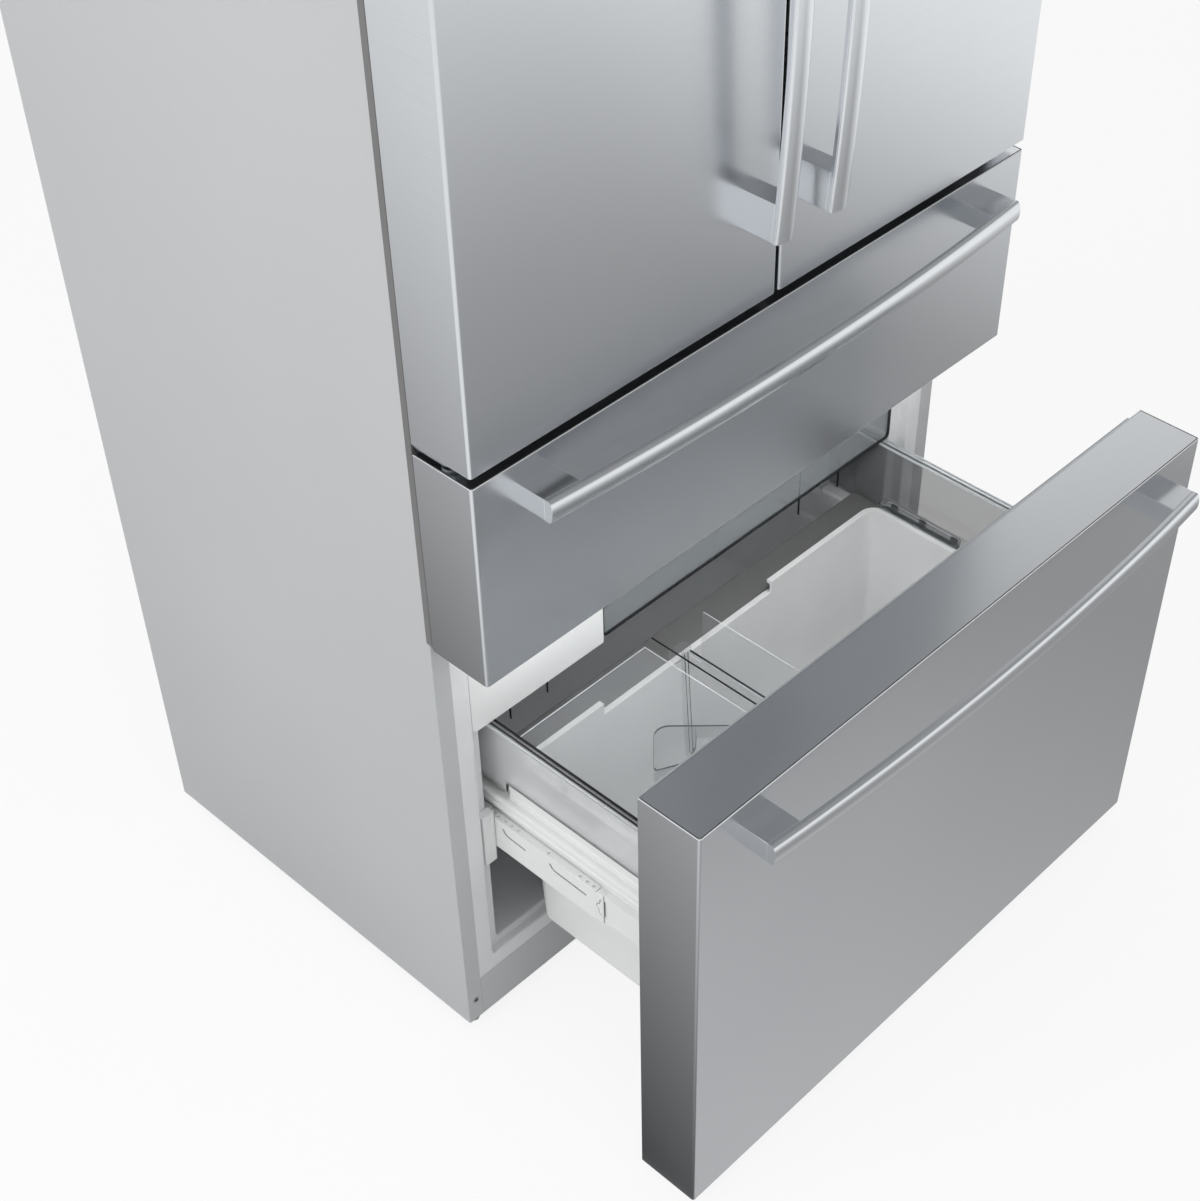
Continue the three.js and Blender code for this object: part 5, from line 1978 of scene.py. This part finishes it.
    def clip(self, s: int, front: float) -> Work:
        """The clip on a member's front end, with a curved slot.

        Args:
            s: -1 on the left, 1 on the right.
            front: front end of the member.

        Returns:
            The piece.
        """
        outer, (z0, z1) = self.outer, self.member_z
        clip = Work.block((s * (outer + 0.2), front - 12, z0 + 1), (s * (outer - 9.7), front + 0.5, z1 - 1))
        clip.soften(1.6, 3)
        curve = [
            (front - 3 + u, 330.0 + v)
            for u, v in (
                (-6.5, 17), (-3.5, 15.5), (-2.6, 9.0), (1.6, 6.0), (2.4, 1.0), (-1.2, -2.5),
                (-1.4, -8.0), (-6.5, -13), (-7.6, -11.6), (-3.0, -7.4), (-2.8, -1.7),
                (0.8, 1.6), (0.2, 5.0), (-4.2, 8.2), (-5.0, 13.9), (-7.0, 15.5),
            )
        ]
        clip.cut(Work.slab(Axis.X, curve, s * (outer + 2), s * (outer - 2.4)))
        # the faces inward of the clip's outer face, in the slot, are painted darker grey as shade
        return clip.trim(
            DUCT_GREY_AND_SHADE,
            lambda p, n: abs(p.x) < outer - 1.2 and 314 < p.z < 349 and -262 < p.y < -240,
        )


@dataclass
class Sliders:
    """A clear slider on each shelf of the frame: a long rounded ring with wheels and pads."""

    ring: Box = (334.6, 352.6, -219.0, -84.0)  # the right one in x and y
    foot: float = 419.8
    high: float = 12.0
    corner: float = 8.0
    wall: float = 1.1
    floor: float = 1.5
    wheels: Pair = (-102.0, -152.0)
    wheel: Pair = (6.3, 2.4)  # radius and thickness
    pads: Point = (-110.0, -158.0, -212.0)  # front ends of the three dark pads
    pad_x: Pair = (5.2, 1.4)  # from a pad's sides to the ring's outer side
    pad_long: float = 11.0

    def outline(self, inset: float) -> Outline:
        """The ring's outline, set in by a distance.

        Args:
            inset: how far it is set in.

        Returns:
            The outline.
        """
        x0, x1, y0, y1 = self.ring
        c = self.corner
        r = c - inset
        return [
            *arc(x1 - c, y1 - c, r, 0, 90, 5), *arc(x0 + c, y1 - c, r, 90, 180, 5),
            *arc(x0 + c, y0 + c, r, 180, 270, 5), *arc(x1 - c, y0 + c, r, 270, 360, 5),
        ]

    def build(self) -> None:
        """Builds the right slider and its mirrored twin."""
        x0, x1, y0, y1 = self.ring
        z = self.foot
        top = z + self.high
        body = Work.slab(Axis.Z, self.outline(0.0), z, top)
        body.cut(Work.slab(Axis.Z, self.outline(self.wall), z + self.floor, top + 8))
        body.join(Work.block((x1 - 6.4, y0 + 4, z + 1), (x1 - 5.5, y1 - 4, top)))
        for y in self.wheels:
            wheel = Work.rod(Axis.X, (x0 + 2.6, y, z + 6.5), *self.wheel, 28)
            wheel.faces(lambda p, n: abs(n.x) > FACING).inset(0.8, single=True)
            wheel.inset(0.6, -0.6, single=True)
            body.join(wheel.soften(0.3, 1))
        outer, inner = (x1 - gap for gap in self.pad_x)
        for y in self.pads:
            pad = Work.block((outer, y, z + 2), (inner, y + self.pad_long, top - 1))
            body.join(pad.soften(0.8, 1))

        def dark(p: Vector, n: Vector) -> bool:
            """Whether a face looks up or belongs to a pad."""
            beside = outer - 0.1 < p.x < inner + 0.1 and z + 1.9 < p.z < top - 0.9
            return n.z > 0.8 or (beside and any(-0.1 < p.y - y < self.pad_long + 0.1 for y in self.pads))

        # faces that look up are painted dark as a reflection; the pads are dark too
        body.trim(SAN_EDGE, dark)
        mirrored = body.reflected()
        body.done("frame_slider_right", SAN_CLEAR, body="freezer_drawer")
        mirrored.done("frame_slider_left", SAN_CLEAR, body="freezer_drawer")


@dataclass
class Divider(DrawerPart):
    """The clear divider: a plate in the basket, a pane above it, two clips and fine lines of painted
    highlight and reflection.
    """

    x: float = -63.0
    y: Pair = (-379.0, -88.0)
    thick: float = 3.0
    corner: float = 16.0
    pane_x: Pair = (8.6, 9.6)  # from the plate's middle
    pane_z: Pair = (417.3, 505.0)
    pane_rear: float = -114.0
    clip_half: float = 15.0
    line_z: Pair = (-1.8, 0.4)  # foot and top of the lines, from the basket's rim
    rear_lines: Pair = (3.0, 9.0)  # two slanting lines behind, from the plate's middle

    def plate(self) -> Work:
        """The plate, its lower rear corner following the basket's slanting back.

        Returns:
            The piece.
        """
        low, _ = size_of("basket_divider")
        (y0, y1), r = self.y, self.corner
        outline = [
            *arc(y0 + r, low.z + r, r, 180, 270, 5), (y1 - 46, low.z),
            (y1 - 34, low.z + 8), (y1 - 22, 190), (y1 - 10, 254), (y1 - 4, 317),
            (y1, self.rim + 2), (y0, self.rim + 2),
        ]
        half = self.thick / 2
        return Work.slab(Axis.X, outline, self.x - half, self.x + half).soften(0.3, 1)

    def line(self, side: Pair, rear: float) -> Work:
        """A line along the divider's top.

        Args:
            side: its two sides, from the plate's middle.
            rear: its rear end.

        Returns:
            The piece.
        """
        foot, top = (self.rim + z for z in self.line_z)
        start = self.y[0] + 1
        return Work.block((self.x + side[0], start, foot), (self.x + side[1], rear, top))

    def build(self) -> None:
        """Builds the divider."""
        _, high = size_of("basket_divider")
        x, rim, (y0, y1) = self.x, self.rim, self.y
        (foot, top), rear = self.pane_z, self.pane_rear
        outline = [(y0 + 4, foot), (rear, foot), (rear, top - 2), (rear - 2, top), (y0 + 4, top)]
        pane = Work.slab(Axis.X, outline, *(x + out for out in self.pane_x))
        bar = Work.block((x - 5, y0 + 1, rim - 2), (x + 11, y1 - 3, rim - 0.6))
        plate = self.plate().join(pane, bar)
        for a, b, z in ((y1 - 5, high.y, foot), (y0 - 3, y0 + 6, rim + 0.3)):
            clip = Work.block((x - self.clip_half, a, z), (x + self.clip_half, b, rim + 4))
            clip.edges(upright).bevel(3.0, 3)
            plate.join(clip.faces(lambda p, n: n.z > FACING).inset(1.2, -1.2))

        def lit(p: Vector, n: Vector) -> bool:
            """Whether a face is the pane's top or the rim of the rear clip."""
            return n.z > FACING and (p.z > top - 1 or (p.z > rim + 3.9 and p.y > y1 - 6))

        # painted highlight on the pane's top and the rear clip's rim
        plate.trim(SAN_LIT, lit)
        plate.done("basket_divider_moulded", SAN_FILM, "basket_divider")

        # painted dark reflections along the top and behind, and one painted highlight
        lines = [self.line((-6.0, -5.0), -41.0), self.line((10.0, 11.6), -93.0)]
        for out in self.rear_lines:
            rear_line = Work.block((x + out, y1 - 2.6, 250), (x + out + 0.8, y1 - 1.8, rim - 4))
            lines.append(rear_line.points(lambda p: p.z < 251).shift((0, -11, 0)))
        lines[0].join(*lines[1:]).done("divider_dark_lines", SAN_EDGE, body="divider")
        light = self.line((7.2, 8.0), -93.0)
        light.done("divider_light_line", SAN_LIT, body="divider")


@dataclass
class Scoop:
    """A clear ice scoop that lies beside the divider, its rim partly painted dark, as a reflection.

    Its outline is given along the grip and across it, from the corner of the bowl.
    """

    corner: Pair = (-158.0, -128.0)
    along: Pair = (0.69, -0.724)
    across: Pair = (-0.724, -0.69)
    top: float = 390.0
    deep: float = 40.0
    middle: Pair = (27.0, 36.0)  # of the bowl
    hollow: float = 0.94  # size of the hollow against the bowl's
    grip: Box = (52.0, 129.0, 1.0, 17.0)
    grip_thick: float = 5.0
    back: float = 74.0  # the bowl's straight back, from its rounded corner to here
    round: float = 20.0

    def placed(self, points: Outline) -> Outline:
        """Points of the scoop's own outline in x and y."""
        corner, along, across = (Vector(v) for v in (self.corner, self.along, self.across))
        return [tuple(corner + along * u + across * w) for u, w in points]

    def stroke(self, path: Outline, thick: float) -> Work:
        """A dark line of painted reflection along a stretch of the rim.

        Args:
            path: the stretch.
            thick: how far the line reaches towards the bowl's middle.

        Returns:
            The piece.
        """
        middle = Vector(self.middle)
        inner = [tuple(Vector(p) + (middle - Vector(p)).normalized() * thick) for p in path]
        outline = self.placed([*path, *reversed(inner)])
        return Work.slab(Axis.Z, outline, self.top - 0.6, self.top + 0.5)

    def build(self) -> None:
        """Builds the scoop and the dark lines along its rim."""
        r, top, floor = self.round, self.top, self.top - self.deep
        side = [*reversed(arc(r, r, r, 180, 270, 5)), (0.0, self.back)]
        front = [(3.0, 78.0), (10.0, 76.0), (32.0, 68.0), (46.0, 55.0), (52.0, 40.0), (54.0, r)]
        whole = [*side, *front, (54.0, 0.0)]
        middle = Vector(self.middle)
        inner = [tuple(middle + (Vector(p) - middle) * self.hollow) for p in whole]
        bowl = Work.slab(Axis.Z, self.placed(whole), floor, top)
        bowl.cut(Work.slab(Axis.Z, self.placed(inner), floor + 2, top + 9))
        u0, u1, w0, w1 = self.grip
        grip = self.placed([(u0, w0), (u1, w0), (u1, w1), (u0, w1)])
        bowl.join(Work.slab(Axis.Z, grip, top - self.grip_thick, top))
        bowl.done("ice_scoop", SAN_FILM, body="divider")

        near = [(u1, 0.0), *reversed(arc(r, r, r, 200, 270, 5))]
        tip = [(0.0, self.back), (3.0, 78.0), *front[1:5]]
        strokes = ((near, 1.7), (side[4:], 0.7), (tip, 1.5), (front[4:], 0.6))
        # the rim's dark lines are a painted reflection
        lines = [self.stroke(path, thick) for path, thick in strokes]
        lines[0].join(*lines[1:]).done("ice_scoop_rim", SAN_EDGE, body="divider")


@dataclass
class FreezerDrawer:
    """Everything behind the freezer front that comes out with it."""

    def build(self) -> None:
        """Builds the drawer behind its front."""
        Basket().build()
        frame, slides = DrawerFrame(), Slides()
        for side, s in SIDES:
            frame.side(side, s)
            slides.runner(side, s)
            slides.member(side, s)
        frame.build()
        Sliders().build()
        Divider().build()
        Scoop().build()


# ---- the studio ----


@dataclass
class Studio:
    """Floor, light and camera."""

    floor_size: float = 60.0
    floor_tone: float = 0.9
    floor_rough: float = 0.9
    floor_glow: float = 0.86  # share of the floor that is plain white where it is seen
    # painted shade on the floor where steel mirrors it, how bright: from and to in metres, then both tones
    mirror_left: Reach = (0.53, 1.4, 0.07, 1.0)  # along left_way, left of the case
    left_way: Point = (-0.9, -0.3, 0.0)
    mirror_right: Reach = (1.2, 2.3, 0.36, 1.05)  # across, right of it
    mirror_front: Reach = (-3.2, -1.1, 1.0, 0.22)  # along Y, in front of it
    mirror_near: Reach = (-0.3, 1.1, 0.56, 0.31)  # across, close in front of it
    mirror_fade: Reach = (-1.15, -0.86, 0.6, 1.0)  # along Y, where that ends
    mirror_edge: Reach = (-0.47, -0.44, 0.0, 1.0)  # across, between left and front
    mirror_sky: Reach = (0.445, 0.55, 1.0, 0.35)  # along sky_way, a direction overhead
    sky_way: Point = (0.0, -0.3, 1.0)
    surround: float = 0.58  # level of the even light
    eye: Point = (-1475.9, -1382.3, 2203.7)
    turn: float = -46.84  # degrees from looking along +Y, to the right
    tilt: float = 43.89  # degrees below the horizon
    sensor: float = 36.0
    frame_side: float = 1201.0  # long side of the image, in pixels
    focal: float = 2055.93  # in the same pixels
    principal: tuple[float, float] = (663.98, 688.96)
    centre: tuple[float, float] = (600.0, 600.5)

    def camera(self) -> None:
        """The camera of the photograph."""
        data = bpy.data.cameras.new("photograph_camera")
        data.sensor_width = self.sensor
        data.lens = self.focal * self.sensor / self.frame_side
        data.shift_x = -(self.principal[0] - self.centre[0]) / self.frame_side
        data.shift_y = (self.principal[1] - self.centre[1]) / self.frame_side
        data.clip_start, data.clip_end = 0.05, 200.0
        camera = bpy.data.objects.new("photograph_camera", data)
        camera.location = Vector(self.eye) * MM
        camera.rotation_euler = (math.radians(90 - self.tilt), 0.0, math.radians(self.turn))
        bpy.context.scene.collection.objects.link(camera)
        bpy.context.scene.camera = camera

    @staticmethod
    def straight(tree: bpy.types.NodeTree) -> bpy.types.NodeSocket:
        """A socket that is 1 for camera and transmission rays.

        Args:
            tree: the node tree it is made in.

        Returns:
            The socket.
        """
        rays = add(tree, "ShaderNodeLightPath").outputs
        sources = {0: rays["Is Camera Ray"], 1: rays["Is Transmission Ray"]}
        return add(tree, "ShaderNodeMath", {"operation": "MAXIMUM"}, sources).outputs[0]

    def floor(self) -> None:
        """A white floor that keeps a light shadow; where steel mirrors it, painted shade makes it dimmer
        close to the refrigerator.
        """
        put_down()
        bpy.ops.mesh.primitive_plane_add(size=self.floor_size)
        plane = bpy.context.active_object
        plane.name = "studio_floor"
        material = bpy.data.materials.new("white_floor")
        material.use_nodes = True
        tree = material.node_tree
        shader = tree.nodes["Principled BSDF"]
        shader.inputs["Base Color"].default_value = (*[self.floor_tone] * 3, 1.0)
        shader.inputs["Roughness"].default_value = self.floor_rough
        glow = add(tree, "ShaderNodeEmission", {"Color": WHITE, "Strength": 1.0})
        rays = add(tree, "ShaderNodeLightPath").outputs
        seen = {"Value": self.straight(tree)}
        glowing = levels(0.0, 1.0, 0.0, self.floor_glow)
        share = add(tree, "ShaderNodeMapRange", glowing, seen).outputs[0]
        place = add(tree, "ShaderNodeTexCoord").outputs["Object"]
        across, along = add(tree, "ShaderNodeSeparateXYZ", {}, {0: place}).outputs[:2]
        way = {"operation": "DOT_PRODUCT", 1: self.left_way}
        leftward = add(tree, "ShaderNodeVectorMath", way, {0: place}).outputs["Value"]
        near, fade, right, front, edge, left = (
            add(tree, "ShaderNodeMapRange", levels(*reach), {"Value": value}).outputs[0]
            for reach, value in (
                (self.mirror_near, across),
                (self.mirror_fade, along),
                (self.mirror_right, across),
                (self.mirror_front, along),
                (self.mirror_edge, across),
                (self.mirror_left, leftward),
            )
        )
        most = {"operation": "MAXIMUM"}
        close = add(tree, "ShaderNodeMath", {"operation": "MULTIPLY"}, {0: near, 1: fade})
        right = add(tree, "ShaderNodeMath", most, {0: close.outputs[0], 1: right})
        front = add(tree, "ShaderNodeMath", most, {0: right.outputs[0], 1: front})
        tones = {0: edge, 2: left, 3: front.outputs[0]}
        tone = add(tree, "ShaderNodeMix", {"data_type": "FLOAT"}, tones).outputs[0]
        # the floor as steel mirrors it: a painted shade
        mirror = add(tree, "ShaderNodeEmission", {"Color": WHITE}, {"Strength": tone})
        lit = {0: share, 1: shader.outputs[0], 2: glow.outputs[0]}
        mixed = add(tree, "ShaderNodeMixShader", {}, lit)
        mirrored = {0: rays["Is Glossy Ray"], 1: mixed.outputs[0], 2: mirror.outputs[0]}
        reflected = add(tree, "ShaderNodeMixShader", {}, mirrored)
        output = tree.nodes["Material Output"]
        tree.links.new(reflected.outputs[0], output.inputs["Surface"])
        plane.data.materials.append(material)

    def world(self) -> None:
        """Even light from all round, white where it is seen, and where it is reflected white low down and
        dimmer overhead.
        """
        world = bpy.data.worlds.new("studio_surround")
        bpy.context.scene.world = world
        world.use_nodes = True
        tree = world.node_tree
        tree.nodes.clear()
        seen = {"Value": self.straight(tree)}
        plain = levels(0.0, 1.0, self.surround, 1.0)
        base = add(tree, "ShaderNodeMapRange", plain, seen).outputs[0]
        place = add(tree, "ShaderNodeTexCoord").outputs["Generated"]
        way = {"operation": "DOT_PRODUCT", 1: self.sky_way}
        upward = add(tree, "ShaderNodeVectorMath", way, {0: place}).outputs["Value"]
        glossy = add(tree, "ShaderNodeLightPath").outputs["Is Glossy Ray"]
        overhead = levels(*self.mirror_sky)
        above = add(tree, "ShaderNodeMapRange", overhead, {"Value": upward}).outputs[0]
        sources = {0: glossy, 2: base, 3: above}
        level = add(tree, "ShaderNodeMix", {"data_type": "FLOAT"}, sources).outputs[0]
        light = add(tree, "ShaderNodeBackground", {"Color": WHITE}, {"Strength": level})
        sky = light.outputs[0]
        add(tree, "ShaderNodeOutputWorld", {}, {"Surface": sky})

    def lamps(self) -> None:
        """Soft boxes at the left, in front and above, and a strip in the freezer's mouth."""
        room = Vector((0.0, 0.0, 0.8))
        for name, place, aim, size, deep, power in (
            ("soft_box_left", (-4.0, 0.2, 3.0), room, 2.8, 2.8, 70.0),
            ("soft_box_front", (-1.8, -2.6, 3.4), room, 1.6, 1.6, 8.0),
            ("soft_box_top", (-0.4, -1.2, 5.2), room, 3.2, 3.2, 25.0),
            ("freezer_strip", (0.0, -0.15, 0.683), Vector((0.0, 0.0, 0.35)), 0.76, 0.05, 1.1),
        ):
            data = bpy.data.lights.new(name, "AREA")
            data.shape = "RECTANGLE"
            data.size, data.size_y = size, deep
            data.energy = power
            lamp = bpy.data.objects.new(name, data)
            lamp.location = place
            lamp.visible_glossy = False  # the steel mirrors the plain surround, not the lamps
            lamp.visible_camera = False
            lamp.rotation_euler = (aim - Vector(place)).to_track_quat("-Z", "Y").to_euler()
            bpy.context.scene.collection.objects.link(lamp)

    def build(self) -> None:
        """Sets up the studio."""
        self.camera()
        self.floor()
        self.world()
        self.lamps()
        bpy.context.scene.view_settings.view_transform = "Standard"


def main() -> None:
    """Builds every sub-assembly in order."""
    logging.basicConfig(level=logging.INFO, format="%(message)s")
    Studio().build()
    Case().build()
    Liners().build()
    MachineBay().build()
    Hinges().build()
    Doors().build()
    FreshRoom().build()
    DrawerFronts().build()
    FreezerRoom().build()
    FreezerDrawer().build()
    put_down()


if __name__ == "__main__":
    main()
